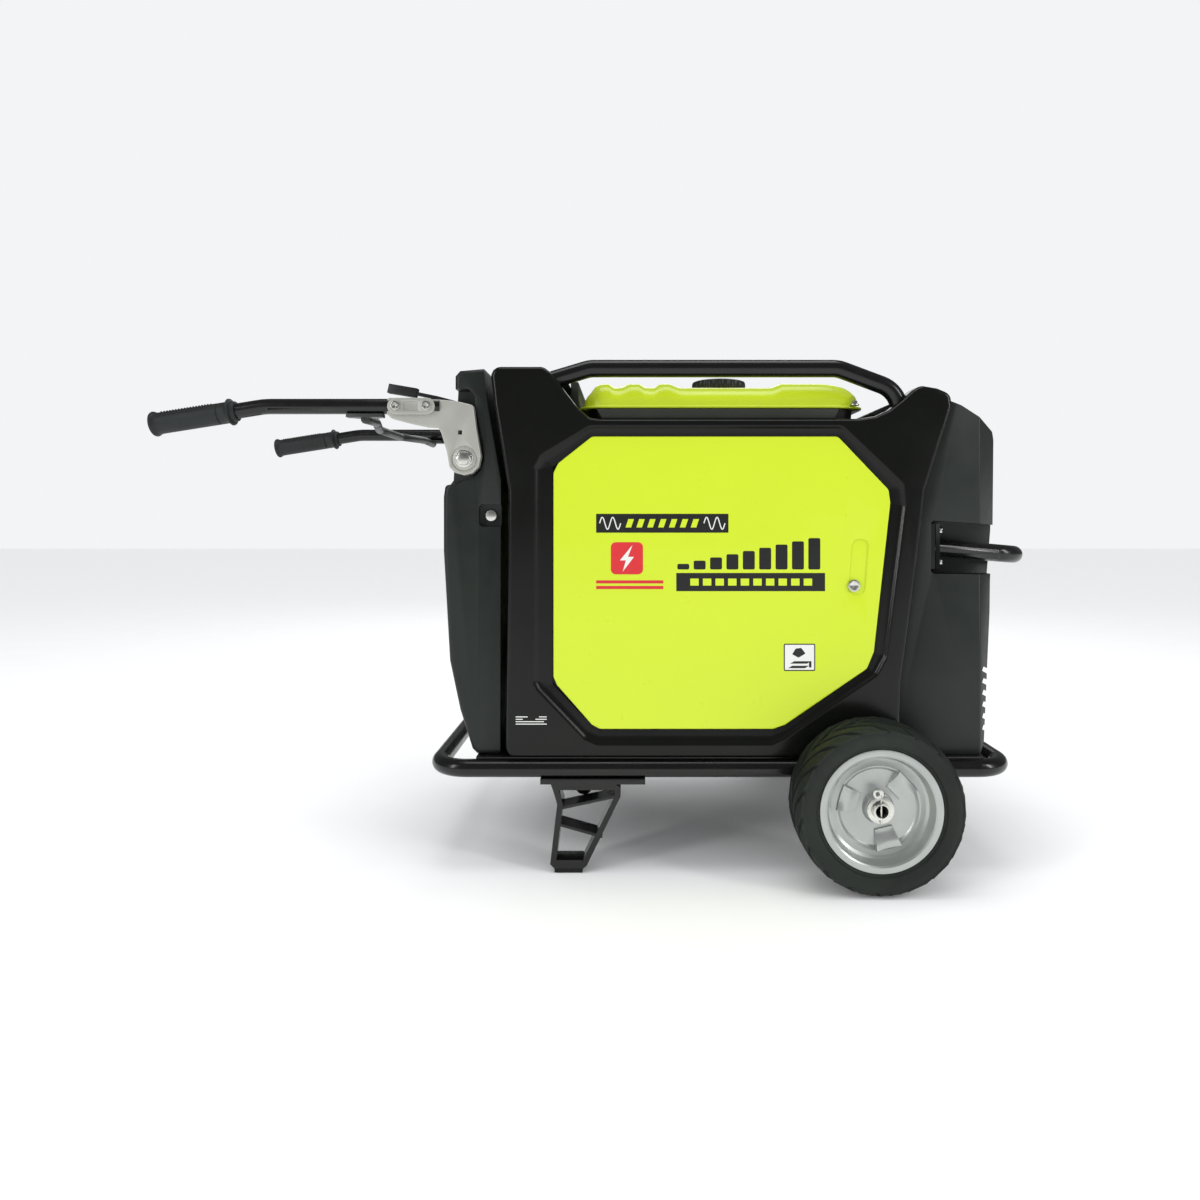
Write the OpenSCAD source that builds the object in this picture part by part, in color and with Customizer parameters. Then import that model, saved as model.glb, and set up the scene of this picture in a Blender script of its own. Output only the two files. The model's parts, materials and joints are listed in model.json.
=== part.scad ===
/* [Frame] */
// Outside diameter of the frame tubes
tube_d = 25.4; // [22:0.2:32]
// Wall of the frame tubes
tube_wall = 2; // [1.5:0.5:3]
// Length of the base loop between its centre lines
base_l = 822; // [780:1:900]
// Width of the base loop between its centre lines
base_w = 444; // [420:1:480]
// Height of the base loop's centre line
base_z = 147; // [140:1:170]
// Centre of the base loop along the machine
base_mid_x = 182; // [170:1:200]
// Corner radius of the base loop
base_corner_r = 45; // [35:1:60]
// Distance between the centre lines of the two top rails
rail_w = 410; // [396:1:412]
// Height over the top rails
rail_top_z = 734; // [724:1:780]
// Half the distance between the legs of the rear bar
rear_bar_y = 195; // [170:1:200]
// Outermost reach of the rear bar from the origin
rear_bar_reach = 638.5; // [625:0.5:660]

/* [Covers] */
// Width over the two side covers
cover_w = 460; // [456:1:500]
// Wall of the plastic covers
cover_wall = 3; // [2:0.5:3.5]
// Width over the front and rear covers
end_cover_w = 420; // [410:1:424]
// Thickness of the lime panels
panel_t = 2; // [1.5:0.5:3]
// How far the lime panels lie below the faces of the side covers
panel_sink = 6; // [4:0.5:8]
// Gap around the lime panels
panel_gap = 1; // [0.6:0.2:2]

/* [Tank] */
// Length of the fuel tank
tank_l = 411; // [380:1:420]
// Width of the fuel tank
tank_w = 364; // [320:1:366]
// Height of the tank's upper shell above its seam
tank_rise = 39; // [30:1:42]
// Diameter of the fuel cap
cap_d = 86; // [70:1:100]

/* [Handle] */
// Outside diameter of the handle tubes
handle_d = 22.2; // [19:0.1:25.4]
// Distance between the centre lines of the handle tubes
handle_w = 428; // [420:1:450]
// Outermost reach of the grips from the origin
grip_reach = 638.5; // [620:0.5:680]
// Length of a hand grip
grip_l = 122; // [100:1:140]
// Diameter of a hand grip
grip_d = 31; // [28:0.5:36]
// Diameter of the handle's pivot bolts
pivot_bolt_d = 12; // [10:1:14]
// Radial clearance of running fits
running_gap = 0.06; // [0.03:0.01:0.1]

/* [Wheels] */
// Diameter of the tyres
wheel_d = 228.6; // [210:0.2:250]
// Width of the tyres
wheel_w = 76; // [60:1:80]
// Diameter of the rim's lip
rim_d = 162; // [150:1:170]
// Outside diameter of the axle tube
axle_d = 22; // [18:1:25]
// Position of the axle along the machine
axle_x = 385; // [350:1:420]
// Width over the two wheels
track_w = 632; // [620:1:660]

/* [Feet] */
// Width of the foot's steel strip
foot_w = 34; // [25:1:40]
// Thickness of the foot's steel strip
foot_t = 8; // [5:0.5:10]
// Height of the rubber pads
pad_h = 7; // [5:1:12]

/* [Hidden] */
$fn = 48;
cut = 1;
lime = [0.81, 0.88, 0.22];
gloss_black = [0.08, 0.085, 0.07];
satin_black = [0.2, 0.23, 0.21];
steel = [0.75, 0.75, 0.72];
cast_grey = [0.74, 0.74, 0.7];

// Frame lines
tube_r = tube_d / 2;
base_x0 = base_mid_x - base_l / 2;
base_x1 = base_mid_x + base_l / 2;
base_top_z = base_z + tube_r;
base_under_z = base_z - tube_r;
tray_t = 3;
deck_z = base_top_z + tray_t;
rail_y = rail_w / 2;
rail_z = rail_top_z - tube_r;
hoop_front_x = -108;
hoop_rear_x = 412;
rail_path = [[hoop_front_x, deck_z], [hoop_front_x, rail_z - 30], [-8, rail_z], [352, rail_z],
    [456, rail_z - 39], [hoop_rear_x, rail_z - 130], [hoop_rear_x, deck_z]];
rail_bend_r = 40;
rear_bar_z0 = 463;
rear_bar_z1 = 450;
rear_bar_x0 = 478;
rear_bar_plate_x = 486;
bar_bolt_zs = [486, 440];

// Cover lines
side_y = cover_w / 2;
side_depth = 30;
end_y = end_cover_w / 2;
cover_base_z = deck_z + 0.3;
panel_y = side_y - panel_sink;
panel_low_z = 203;
panel_high_z = 621;
side_outline = [[-128, cover_base_z], [436, cover_base_z], [436, 219], [438, 273], [447, 338], [458, 425],
    [467, 497], [472.5, 545], [485, 585], [504, 644], [510, 663], [508, 682], [489, 690], [465, 694],
    [453, 687], [438, 673], [420, 659], [400, 650], [377, 646.5], [8, 646.5], [-7, 648], [-23, 661],
    [-63, 713], [-73, 721], [-150, 721], [-144, 667], [-124, 544], [-124, 445]];
crease_outline = [[3.5, 183], [252, 183], [271, 192], [403, 281], [417, 306], [424, 338], [444, 512],
    [445, 541], [441, 556], [358, 640], [350, 644], [2, 644], [-9, 640], [-77, 598], [-86, 586], [-89, 573],
    [-89, 271], [-83, 260], [-15, 190]];
panel_outline = [[7.5, panel_low_z], [255, panel_low_z], [272, 209], [389, 289], [399, 313], [422.5, 526],
    [420, 545], [347.5, panel_high_z], [-4, panel_high_z], [-52, 583], [-59, 569], [-59, 277.5], [-54, 266],
    [-4, 209]];
front_outline = [[-137, cover_base_z], [-136, 558], [-155, 668], [-161, 721], [-196, 718], [-203, 710],
    [-203, 692], [-208, 600], [-210, 560], [-218, 549], [-220, 535], [-220, 457], [-215, 374], [-211, 298],
    [-196, 227], [-178, 170], [-171, cover_base_z]];
rear_outline = [[440, cover_base_z], [558, cover_base_z], [566, 180], [573, 278], [579, 368], [580, 414],
    [586, 487], [588, 620], [585, 632], [531, 667], [513, 674], [513.5, 663], [507, 642], [488, 584],
    [475.5, 544], [470.5, 497], [461.5, 425], [450.5, 338], [441.5, 273], [440, 219]];
recess_outline = [[-240, 691], [-183, 691], [-174, 682], [-173, 667], [-162, 612], [-160, 589], [-165, 574],
    [-174, 564], [-200, 554], [-240, 549]];
recess_depth = 26;
ledge_w = 8;

// Tank lines
tank_x0 = -19;
tank_seam_z = 668;
tank_drop = 96;
tank_top_z = tank_seam_z + tank_rise;
cap_x = 194;
cap_y = -60;
cap_h = 20;
neck_d = 56;

// Handle lines
pivot_x = -187;
pivot_z = 589.5;
handle_y = handle_w / 2;
handle_z = 665;
handle_start_x = -222;
handle_bend_x = -475;
grip_drop = 9;
grip_tip_in = (grip_d / 2 + 2.5) * sin(grip_drop);
bar_end = [-grip_reach + grip_tip_in + 4, handle_z - (grip_reach - 4 + handle_bend_x) * tan(grip_drop)];
bracket_t = 14;
bracket_out_y = handle_y + 8;
bracket_in_y = bracket_out_y - bracket_t;
bracket_pad_y = handle_y + handle_d / 2 + 2.4;
bracket_screw_xs = [-284, -240];
bracket_screw_d = 5;
bracket_pad_d = 22;
bracket_outline = [[-298, 677], [-220, 674], [-198, 672], [-174, 666], [-170, 634], [-163, 593], [-166, 578],
    [-175, 568.5], [-187, 565.5], [-200, 569], [-208, 577], [-212, 600], [-220, 626], [-224, 634],
    [-240, 635], [-264, 640], [-291, 647], [-298, 653]];
latch_x = -200;
latch_z = 655;

// Wheel lines
wheel_r = wheel_d / 2;
axle_z = wheel_r;
wheel_in_y = track_w / 2 - wheel_w;
rim_r = rim_d / 2;
web_y = track_w / 2 - 26;
hub_d = 37;
hub_out_y = web_y + 11;
hub_in_y = wheel_in_y + 8;
axle_end_y = hub_out_y + 9;

// Foot lines
foot_out_y = 232;
foot_top_z = base_under_z;

// Engine lines
crank_x = 210;
crank_z = 300;
crank_d = 25;
rotor_d = 240;
rotor_y0 = 76;
reel_y = 172;
reel_d = 70;
rope_d = 4;
rope_x = crank_x - reel_d / 2;
rope_z = crank_z + 20;

// Control panel lines
board_x = -205;
board_t = 3;
board_z0 = 296;
board_z1 = 534;
board_y = 152;
socket_z = 345;
dial_z = 480;

// Moves every edge of a counter-clockwise outline inwards by d
function edge_way(a, b) = (b - a) / norm(b - a);
function inset(p, d) = [for (i = [0:len(p) - 1])
    let (a = p[(i + len(p) - 1) % len(p)], b = p[i], c = p[(i + 1) % len(p)],
        u = edge_way(a, b), v = edge_way(b, c), m = [-u.y - v.y, u.x + v.x])
    b + m * d / (1 + u * v)];

function at_y(p, y) = [for (q = p) [q.x, y, q.y]];

// A flat outline in the machine's side view, from y0 to y1
module side_slab(outline, y0, y1) {
    translate([0, y1, 0]) rotate([90, 0, 0]) linear_extrude(y1 - y0) polygon(outline);
}

module block(low, high) {
    translate(low) cube(high - low);
}

// Draws its children on the near side and mirrored on the far side
module both_sides() {
    children();
    mirror([0, 1, 0]) children();
}

// A bar from a to b, or a tube where it has a bore
module straight(a, b, d, bore = 0) {
    v = b - a;
    translate(a) rotate([0, acos(v.z / norm(v)), atan2(v.y, v.x)]) linear_extrude(norm(v)) ring(d, bore);
}

module ring(d, bore) {
    difference() {
        circle(d = d);
        if (bore > 0) circle(d = bore);
    }
}

function turn_angle(a, b, c) = acos(max(-1, min(1, edge_way(a, b) * edge_way(b, c))));
function bend_trim(a, b, c, r) = r * tan(turn_angle(a, b, c) / 2);

module bend(a, b, c, r, d, bore) {
    u = edge_way(a, b);
    v = edge_way(b, c);
    n = (v - u * (u * v)) / norm(v - u * (u * v));
    w = cross(-n, u);
    centre = b - u * bend_trim(a, b, c, r) + n * r;
    multmatrix([[-n.x, u.x, w.x, centre.x], [-n.y, u.y, w.y, centre.y], [-n.z, u.z, w.z, centre.z]])
        rotate_extrude(angle = turn_angle(a, b, c)) translate([r, 0]) ring(d, bore);
}

// A bent bar or tube along a list of corner points; its bends fit just inside the ends of its straights
bend_lap = 0.8;
bend_step = 0.04;
module bent_bar(p, r, d, bore = 0) {
    last = len(p) - 1;
    for (i = [0:last - 1]) {
        t0 = i == 0 ? 0 : bend_trim(p[i - 1], p[i], p[i + 1], r) - bend_lap;
        t1 = i == last - 1 ? 0 : bend_trim(p[i], p[i + 1], p[i + 2], r) - bend_lap;
        way = edge_way(p[i], p[i + 1]);
        straight(p[i] + way * t0, p[i + 1] - way * t1, d, bore);
    }
    for (i = [1:last - 1])
        bend(p[i - 1], p[i], p[i + 1], r, d - bend_step, bore > 0 ? bore + bend_step : 0);
}

module base_loop() {
    y = base_w / 2;
    mid = base_mid_x;
    color(gloss_black)
        bent_bar([[mid, -y, base_z], [base_x1, -y, base_z], [base_x1, y, base_z], [base_x0, y, base_z],
            [base_x0, -y, base_z], [mid, -y, base_z]], base_corner_r, tube_d);
}

module cross_members() {
    y = base_w / 2 - tube_r * 0.7;
    channel_w = 40;
    color(gloss_black) {
        straight([-17, -foot_out_y + foot_w, foot_top_z - foot_t - tube_r], [-17, foot_out_y - foot_w,
            foot_top_z - foot_t - tube_r], tube_d);
        for (x = [60, 300, 500])
            difference() {
                block([x, -y, base_z - 9], [x + channel_w, y, base_top_z]);
                block([x + 3, -y - cut, base_z - 9 - cut], [x + channel_w - 3, y + cut, base_top_z - 3]);
            }
    }
}

module top_rail() {
    color(gloss_black) bent_bar(at_y(rail_path, -rail_y), rail_bend_r, tube_d, tube_d - 2 * tube_wall);
}
module top_rail_near() { top_rail(); }
module top_rail_far() { mirror([0, 1, 0]) top_rail(); }

module rear_bar() {
    x1 = rear_bar_reach - tube_r;
    y = rear_bar_y;
    slope = (rear_bar_z0 - rear_bar_z1) / (x1 - rear_bar_x0);
    color(gloss_black) {
        bent_bar([[rear_bar_x0, -y, rear_bar_z0], [x1, -y, rear_bar_z1], [x1, y, rear_bar_z1],
            [rear_bar_x0, y, rear_bar_z0]], 42, tube_d, tube_d - 2 * tube_wall);
        both_sides() for (step = [0, 7])
            difference() {
                block([rear_bar_plate_x + step, -y - 13, 431], [rear_bar_plate_x + step + 6, -y + 17, 496]);
                straight([rear_bar_x0, -y, rear_bar_z0], [x1, -y, rear_bar_z1], tube_d - tube_wall);
                for (z = bar_bolt_zs)
                    along_x(rear_bar_plate_x - cut, rear_bar_plate_x + 20, -y, z, 6.4);
            }
    }
}

// Outline of the bent strip of a foot, outside line
foot_outer = [[-57, pad_h], [-16, pad_h], [-11, 11], [37, 109], [37, 122], [30, foot_top_z - foot_t],
    [-62, foot_top_z - foot_t], [-57, 112], [-53, 98], [-63, 13]];
module foot() {
    y1 = -foot_out_y + foot_w;
    color(gloss_black) {
        difference() {
            side_slab(foot_outer, -foot_out_y, y1);
            side_slab(inset(foot_outer, foot_t), -foot_out_y - cut, y1 + cut);
        }
        side_slab([[-50, 90], [34, 108], [34, 112], [-50, 94]], -foot_out_y, y1);
        side_slab([[-56, 69], [11, 50], [11, 54], [-56, 73]], -foot_out_y, y1);
        block([-58, -foot_out_y, pad_h + foot_t - 1], [-17, y1, pad_h + foot_t + 4]);
        block([-77, -foot_out_y, foot_top_z - foot_t], [72, y1, foot_top_z]);
    }
}
module foot_near() { foot(); }
module foot_far() { mirror([0, 1, 0]) foot(); }

module foot_pads() {
    color([0.12, 0.12, 0.12]) both_sides()
        block([-57, -foot_out_y + 2, 0], [-17, -foot_out_y + foot_w - 2, pad_h]);
}

module along_y(x, z, y0, y1, d) {
    translate([x, y1, z]) rotate([90, 0, 0]) cylinder(h = y1 - y0, d = d);
}

module axle() {
    color(steel) difference() {
        along_y(axle_x, axle_z, -axle_end_y, axle_end_y, axle_d);
        along_y(axle_x, axle_z, -axle_end_y - cut, axle_end_y + cut, axle_d - 5);
        both_sides() translate([axle_x, -axle_end_y + 4, axle_z - axle_d]) cylinder(h = axle_d * 2, d = 3.2);
    }
}

module axle_brackets() {
    top = base_under_z + 3;
    color(gloss_black) both_sides() difference() {
        block([axle_x - 24, -base_w / 2 - 5, axle_z - axle_d / 2 - 7], [axle_x + 24, -base_w / 2 + 5, top]);
        along_y(axle_x, axle_z, -base_w / 2 - 5 - cut, -base_w / 2 + 5 + cut, axle_d);
    }
}

// A washer, and a hairpin clip through the axle tube
module wheel_retainers() {
    clip_d = 2.6;
    clip_y = -axle_end_y + 4;
    color(steel) both_sides() {
        difference() {
            along_y(axle_x, axle_z, -hub_out_y - 2.8, -hub_out_y - 0.3, 36);
            along_y(axle_x, axle_z, -hub_out_y - 3.5, -hub_out_y + cut, axle_d);
        }
        translate([axle_x, clip_y, axle_z - axle_d / 2 - 6]) cylinder(h = axle_d + 16, d = clip_d);
        difference() {
            along_y(axle_x - 4, axle_z + axle_d / 2 + 12, clip_y - 1, clip_y + 1, 14);
            along_y(axle_x - 5, axle_z + axle_d / 2 + 12, clip_y - 2, clip_y + 2, 6);
        }
    }
}

module pivot_bolts() {
    head_y = -bracket_out_y;
    color(steel) both_sides() {
        along_y(pivot_x, pivot_z, head_y - 2.5, head_y - 0.3, 26);
        along_y(pivot_x, pivot_z, head_y - 10, head_y - 2.4, 20.8, $fn = 6);
        along_y(pivot_x, pivot_z, head_y - 2, -end_y + recess_depth + 6, pivot_bolt_d);
    }
}

module side_cover() {
    inner = inset(side_outline, cover_wall);
    opening = inset(panel_outline, -panel_gap);
    back_y = -side_y + side_depth;
    lip_y = -panel_y + panel_t + 0.4;
    color(gloss_black) difference() {
        union() {
            difference() {
                side_slab(side_outline, -side_y, back_y);
                side_slab(inner, -side_y + cover_wall, back_y + cut);
            }
            side_slab(inset(crease_outline, -cover_wall), -side_y + cover_wall - cut, lip_y + cover_wall);
        }
        side_slab(inset(crease_outline, 6), -side_y - cut, -panel_y);
        side_slab(opening, -side_y - cut, lip_y);
        side_slab(inset(panel_outline, ledge_w), -side_y - cut, back_y + cut);
        bent_bar(at_y(rail_path, -rail_y), rail_bend_r, tube_d + 1);
        hinge_cut();
    }
}

// Door hinge: the pin stands just inside the panel's front edge
hinge_r = 2;
hinge_x = -59 + hinge_r;
hinge_y = panel_y - hinge_r;
hinge_zs = [330, 500];
hinge_l = 40;
hinge_end = 0.4;
hinge_edge_zs = [268, 580];

// Leaves out the ledge behind the door's hinged edge, where the edge turns inwards
module hinge_cut() {
    block([hinge_x - hinge_r - panel_gap, -side_y - cut, hinge_edge_zs[0]],
        [hinge_x + ledge_w + 4, -hinge_y + 12, hinge_edge_zs[1]]);
}

module side_cover_near() { side_cover(); }
module side_cover_far() { mirror([0, 1, 0]) side_cover(); }

module lime_panel() {
    side_slab(panel_outline, -panel_y, -panel_y + panel_t);
}

module side_panel_far() {
    color(lime) mirror([0, 1, 0]) difference() {
        lime_panel();
        along_y(rope_x, rope_z, -panel_y - cut, -panel_y + panel_t + cut, 12);
    }
}

module hinge_pieces(z, low, high, d) {
    translate([hinge_x, -hinge_y, z + low]) cylinder(h = high - low, d = d);
}

slot_x = 394;
slot_w = 26;
slot_low_z = 418;
slot_high_z = 474;
slot_depth = 9;
lock_x = 370;
lock_z = 408;
lock_d = 17;
lock_pin_d = 8;
cam_reach = 25;
module service_door() {
    back = -panel_y + panel_t;
    quarter = hinge_l / 4;
    color(lime) difference() {
        union() {
            difference() {
                lime_panel();
                for (z = hinge_zs, side = [-1, 1])
                    block([hinge_x - 4, -panel_y - cut, z + side * quarter * 1.5 - quarter / 2 - hinge_end],
                        [hinge_x + 4, back + cut, z + side * quarter * 1.5 + quarter / 2 + hinge_end]);
            }
            block([slot_x - slot_w - 2, back - 0.2, slot_low_z - 2], [slot_x + 2, back + slot_depth, slot_high_z + 2]);
            for (z = hinge_zs) hinge_pieces(z, -quarter + hinge_end, quarter - hinge_end, 2 * hinge_r);
        }
        block([slot_x - slot_w, -panel_y - cut, slot_low_z], [slot_x, back + slot_depth - 2, slot_high_z]);
        along_y(lock_x, lock_z, -panel_y - cut, back + cut, lock_pin_d + 2 * running_gap);
        for (z = hinge_zs) hinge_pieces(z, -hinge_l, hinge_l, hinge_r + 2 * running_gap);
    }
}

// Fixed leaves with the hinge pins
module door_hinge() {
    quarter = hinge_l / 4;
    leaf_y = -panel_y + panel_t + 0.4 + cover_wall;
    color(gloss_black) for (z = hinge_zs) {
        hinge_pieces(z, -hinge_l / 2, hinge_l / 2, hinge_r);
        for (low = [-hinge_l / 2, quarter]) {
            hinge_pieces(z, low, low + quarter, 2 * hinge_r);
            block([hinge_x - 1, -hinge_y, z + low], [hinge_x + 1, leaf_y + 2, z + low + quarter]);
        }
        block([hinge_x - 18, leaf_y, z - hinge_l / 2], [hinge_x + 1, leaf_y + 2, z + hinge_l / 2]);
    }
}

module door_lock() {
    back = -panel_y + panel_t;
    slot_half = 0.9;
    color(steel) difference() {
        union() {
            along_y(lock_x, lock_z, -panel_y - 3, -panel_y - 0.3, lock_d);
            along_y(lock_x, lock_z, -panel_y - 1, back + 6, lock_pin_d);
            block([lock_x - 4, back + 3.5, lock_z - 4], [lock_x + cam_reach, back + 6, lock_z + 4]);
        }
        block([lock_x - 6, -panel_y - 3 - cut, lock_z - slot_half], [lock_x + 6, -panel_y - 1.8, lock_z + slot_half]);
        block([lock_x - slot_half, -panel_y - 3 - cut, lock_z - 6], [lock_x + slot_half, -panel_y - 1.8, lock_z + 6]);
    }
}

module front_cover() {
    inner_y = end_y - cover_wall;
    outline = front_outline;
    hollow = inset(outline, cover_wall);
    color(satin_black) difference() {
        union() {
            difference() {
                side_slab(outline, -end_y, end_y);
                side_slab(hollow, -inner_y, inner_y);
                block([-168, -inner_y, cover_base_z - cut], [-120, inner_y, 700]);
            }
            both_sides() intersection() {
                side_slab(outline, -end_y, -end_y + recess_depth + cover_wall);
                side_slab(inset(recess_outline, -cover_wall), -end_y, -end_y + recess_depth + cover_wall);
            }
        }
        both_sides() {
            side_slab(recess_outline, -end_y - cut, -end_y + recess_depth);
            along_y(pivot_x, pivot_z, -end_y, 0, pivot_bolt_d);
        }
        block([-250, -board_y - 2, board_z0 - 2], [board_x - 0.2, board_y + 2, board_z1 + 2]);
        both_sides() along_y(-151, 508, -end_y - cut, -end_y + 8, 20);
    }
}

module rear_cover() {
    inner_y = end_y - cover_wall;
    hollow = inset(rear_outline, cover_wall);
    color(satin_black) difference() {
        side_slab(rear_outline, -end_y, end_y);
        side_slab(hollow, -inner_y, inner_y);
        block([430, -inner_y, cover_base_z + cover_wall], [480, inner_y, 560]);
        both_sides() {
            translate([588, -end_y, cover_base_z - cut]) rotate(45)
                block([-24, -24, 0], [24, 24, 520]);
            block([rear_bar_plate_x - 0.5, -end_y - cut, 424], [600, -rear_bar_y + 20, 501]);
        }
        both_sides() along_x(rear_bar_x0 - cut, rear_bar_plate_x, -rear_bar_y, rear_bar_z0, tube_d + 2);
        for (i = [0:5]) block([540, -140, 210 + 16 * i], [600, 140, 217 + 16 * i]);
    }
    color(satin_black) both_sides() difference() {
        block([rear_bar_plate_x - 3.5, -inner_y - 0.5, 420], [rear_bar_plate_x - 0.5, -rear_bar_y + 23, 505]);
        along_x(rear_bar_plate_x - 5, rear_bar_plate_x + 5, -rear_bar_y, rear_bar_z0, tube_d + 2);
        for (z = bar_bolt_zs) along_x(rear_bar_plate_x - 5, rear_bar_plate_x + 5, -rear_bar_y, z, 6.4);
    }
}

// Decks that close the top in front of and behind the tank, between the rails
module top_covers() {
    y = rail_y - tube_r - 1;
    color(satin_black) {
        side_slab([[-132, 700], [-40, 700], [-40, 703.5], [-66, 712], [-132, 712]], -y, y);
        side_slab([[408, 655], [424, 655], [470, 684], [492, 680], [492, 683.5], [470, 688.5], [408, 661]], -y, y);
    }
}

// Trim strips below the tank, and the guard block in front of it
module top_trim() {
    y0 = -side_y + 14;
    color([0.23, 0.235, 0.2]) {
        both_sides() side_slab([[10, 647], [345, 647], [352, 662], [2, 662]], y0, y0 + 24);
        block([-39.5, -150, 650], [tank_x0 - 8.5, 150, 711]);
    }
}

// Every fixed screw and bolt that shows
module fasteners() {
    color(steel) both_sides() {
        along_y(-151, 508, -end_y + 4, -end_y + 8, 16);
        along_y(-151, 508, -end_y + 8, -end_y + 20, 5);
        for (z = bar_bolt_zs) {
            along_x(rear_bar_plate_x - 10, rear_bar_plate_x + 14, -rear_bar_y, z, 6);
            translate([rear_bar_plate_x + 13.2, -rear_bar_y, z]) rotate([0, 90, 0]) cylinder(h = 6, d = 11.5, $fn = 6);
        }
        translate([tank_x0 + tank_l - 12, -tank_w / 2 - 7, tank_seam_z + 1.6]) {
            cylinder(h = 2, d = 14);
            cylinder(h = 7, d = 9.5, $fn = 6);
        }
    }
}

module bottom_tray() {
    color(gloss_black) difference() {
        block([-170, -base_w / 2, base_top_z - 0.01], [556, base_w / 2, deck_z]);
        for (x = [-20:60:460]) block([x, -60, base_top_z - cut], [x + 12, 60, deck_z + cut]);
    }
}

// Steel tank: a pressed upper shell over a seam flange, and a deeper lower shell
module fuel_tank() {
    y = tank_w / 2;
    x1 = tank_x0 + tank_l;
    sheet = 1.5;
    rise = [[tank_x0, tank_seam_z + 1.5], [x1, tank_seam_z + 1.5], [x1, tank_top_z - 14],
        [x1 - 14, tank_top_z], [tank_x0 + 304, tank_top_z], [tank_x0 + 290, tank_top_z - 5],
        [tank_x0 + 156, tank_top_z - 5], [tank_x0 + 144, tank_top_z], [tank_x0 + 12, tank_top_z],
        [tank_x0, tank_top_z - 12]];
    drop = [[tank_x0 + 8, tank_seam_z - tank_drop], [x1 - 8, tank_seam_z - tank_drop], [x1 - 4, tank_seam_z],
        [tank_x0 + 4, tank_seam_z]];
    color(lime) difference() {
        union() {
            side_slab(rise, -y, y);
            side_slab(drop, -y + 6, y - 6);
            block([tank_x0 - 7, -y - 8, tank_seam_z - 1.5], [x1 + 7, y + 8, tank_seam_z + 1.5]);
            translate([cap_x, cap_y, tank_top_z - 10]) cylinder(h = 14, d = neck_d);
        }
        side_slab(inset(rise, sheet), -y + sheet, y - sheet);
        side_slab(inset(drop, sheet), -y + 6 + sheet, y - 6 - sheet);
        block([tank_x0 + 6, -y + 8, tank_seam_z - 3], [x1 - 6, y - 8, tank_seam_z + 4]);
        translate([cap_x, cap_y, tank_top_z - 20]) cylinder(h = 30, d = neck_d - 4);
    }
}

module fuel_cap() {
    low = tank_top_z + 0.5;
    color(gloss_black) translate([cap_x, cap_y, low]) difference() {
        union() {
            cylinder(h = cap_h - 5, d = cap_d);
            translate([0, 0, cap_h - 5.01]) cylinder(h = 5, d1 = cap_d, d2 = cap_d - 20);
        }
        translate([0, 0, -cut]) cylinder(h = cap_h - 5, d = neck_d + 2 * running_gap);
        for (a = [0:15:345]) rotate(a) translate([cap_d / 2 + 1.2, 0, -cut]) cylinder(h = cap_h + 2, d = 5);
    }
}

module control_panel() {
    color([0.25, 0.26, 0.26]) difference() {
        block([board_x, -board_y, board_z0], [board_x + board_t, board_y, board_z1]);
        for (y = [-75, 75]) block([board_x - cut, y - 38, socket_z - 28], [board_x + board_t + cut, y + 38, socket_z + 28]);
        along_x(board_x - cut, board_x + board_t + cut, -105, dial_z, 10 + 2 * running_gap);
        block([board_x - cut, -58, dial_z - 13], [board_x + board_t + cut, -38, dial_z + 13]);
        block([board_x - cut, 0, dial_z - 17], [board_x + board_t + cut, 62, dial_z + 17]);
        for (y = [98, 122]) along_x(board_x - cut, board_x + board_t + cut, y, dial_z, 12);
    }
}

module along_x(x0, x1, y, z, d) {
    translate([x0, y, z]) rotate([0, 90, 0]) cylinder(h = x1 - x0, d = d);
}

// Two twin socket outlets, and the display's housing
module outlets() {
    color([0.12, 0.12, 0.12]) {
        for (y = [-75, 75]) difference() {
            block([board_x + 0.5, y - 37.5, socket_z - 27.5], [board_x + 30, y + 37.5, socket_z + 27.5]);
            for (side = [-18, 18]) {
                along_x(board_x, board_x + 4, y + side, socket_z, 30);
                for (pin = [-6, 6]) block([board_x, y + side + pin - 1, socket_z - 2], [board_x + 18, y + side + pin + 1, socket_z + 6]);
                along_x(board_x, board_x + 18, y + side, socket_z - 8, 5);
            }
        }
        block([board_x + 0.5, 0.5, dial_z - 16.5], [board_x + 20, 61.5, dial_z + 16.5]);
        block([board_x + board_t, -59, dial_z - 14], [board_x + 26, -56.5, dial_z + 14]);
        block([board_x + board_t, -39.5, dial_z - 14], [board_x + 26, -37, dial_z + 14]);
    }
}

cover_pin_z = socket_z + 36;
// Sprung rain covers over the outlets, hinged at the top
module outlet_cover() {
    color([0.16, 0.17, 0.17]) for (y = [-75, 75]) {
        difference() {
            block([board_x - 9, y - 42, socket_z - 32], [board_x - 1, y + 42, cover_pin_z]);
            block([board_x - 7, y - 40, socket_z - 30], [board_x, y + 40, cover_pin_z - 8]);
        }
        translate([board_x - 5, y - 42, cover_pin_z]) rotate([-90, 0, 0]) cylinder(h = 84, d = 8);
    }
    color([0.16, 0.17, 0.17]) block([board_x - 8, -34, cover_pin_z - 3], [board_x - 2, 34, cover_pin_z + 3]);
}

module engine_switch() {
    color([0.6, 0.1, 0.08]) {
        along_x(board_x - 3, board_x - 0.4, -105, dial_z, 44);
        along_x(board_x - 4, board_x + 14, -105, dial_z, 10);
        block([board_x - 16, -110, dial_z - 20], [board_x - 2.5, -100, dial_z + 20]);
    }
}

module eco_switch() {
    color([0.1, 0.1, 0.1]) {
        block([board_x - 3, -55.5, dial_z - 11], [board_x + 8, -40.5, dial_z + 11]);
        along_y(board_x + 6, dial_z, -56.3, -39.7, 5);
    }
}

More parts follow.
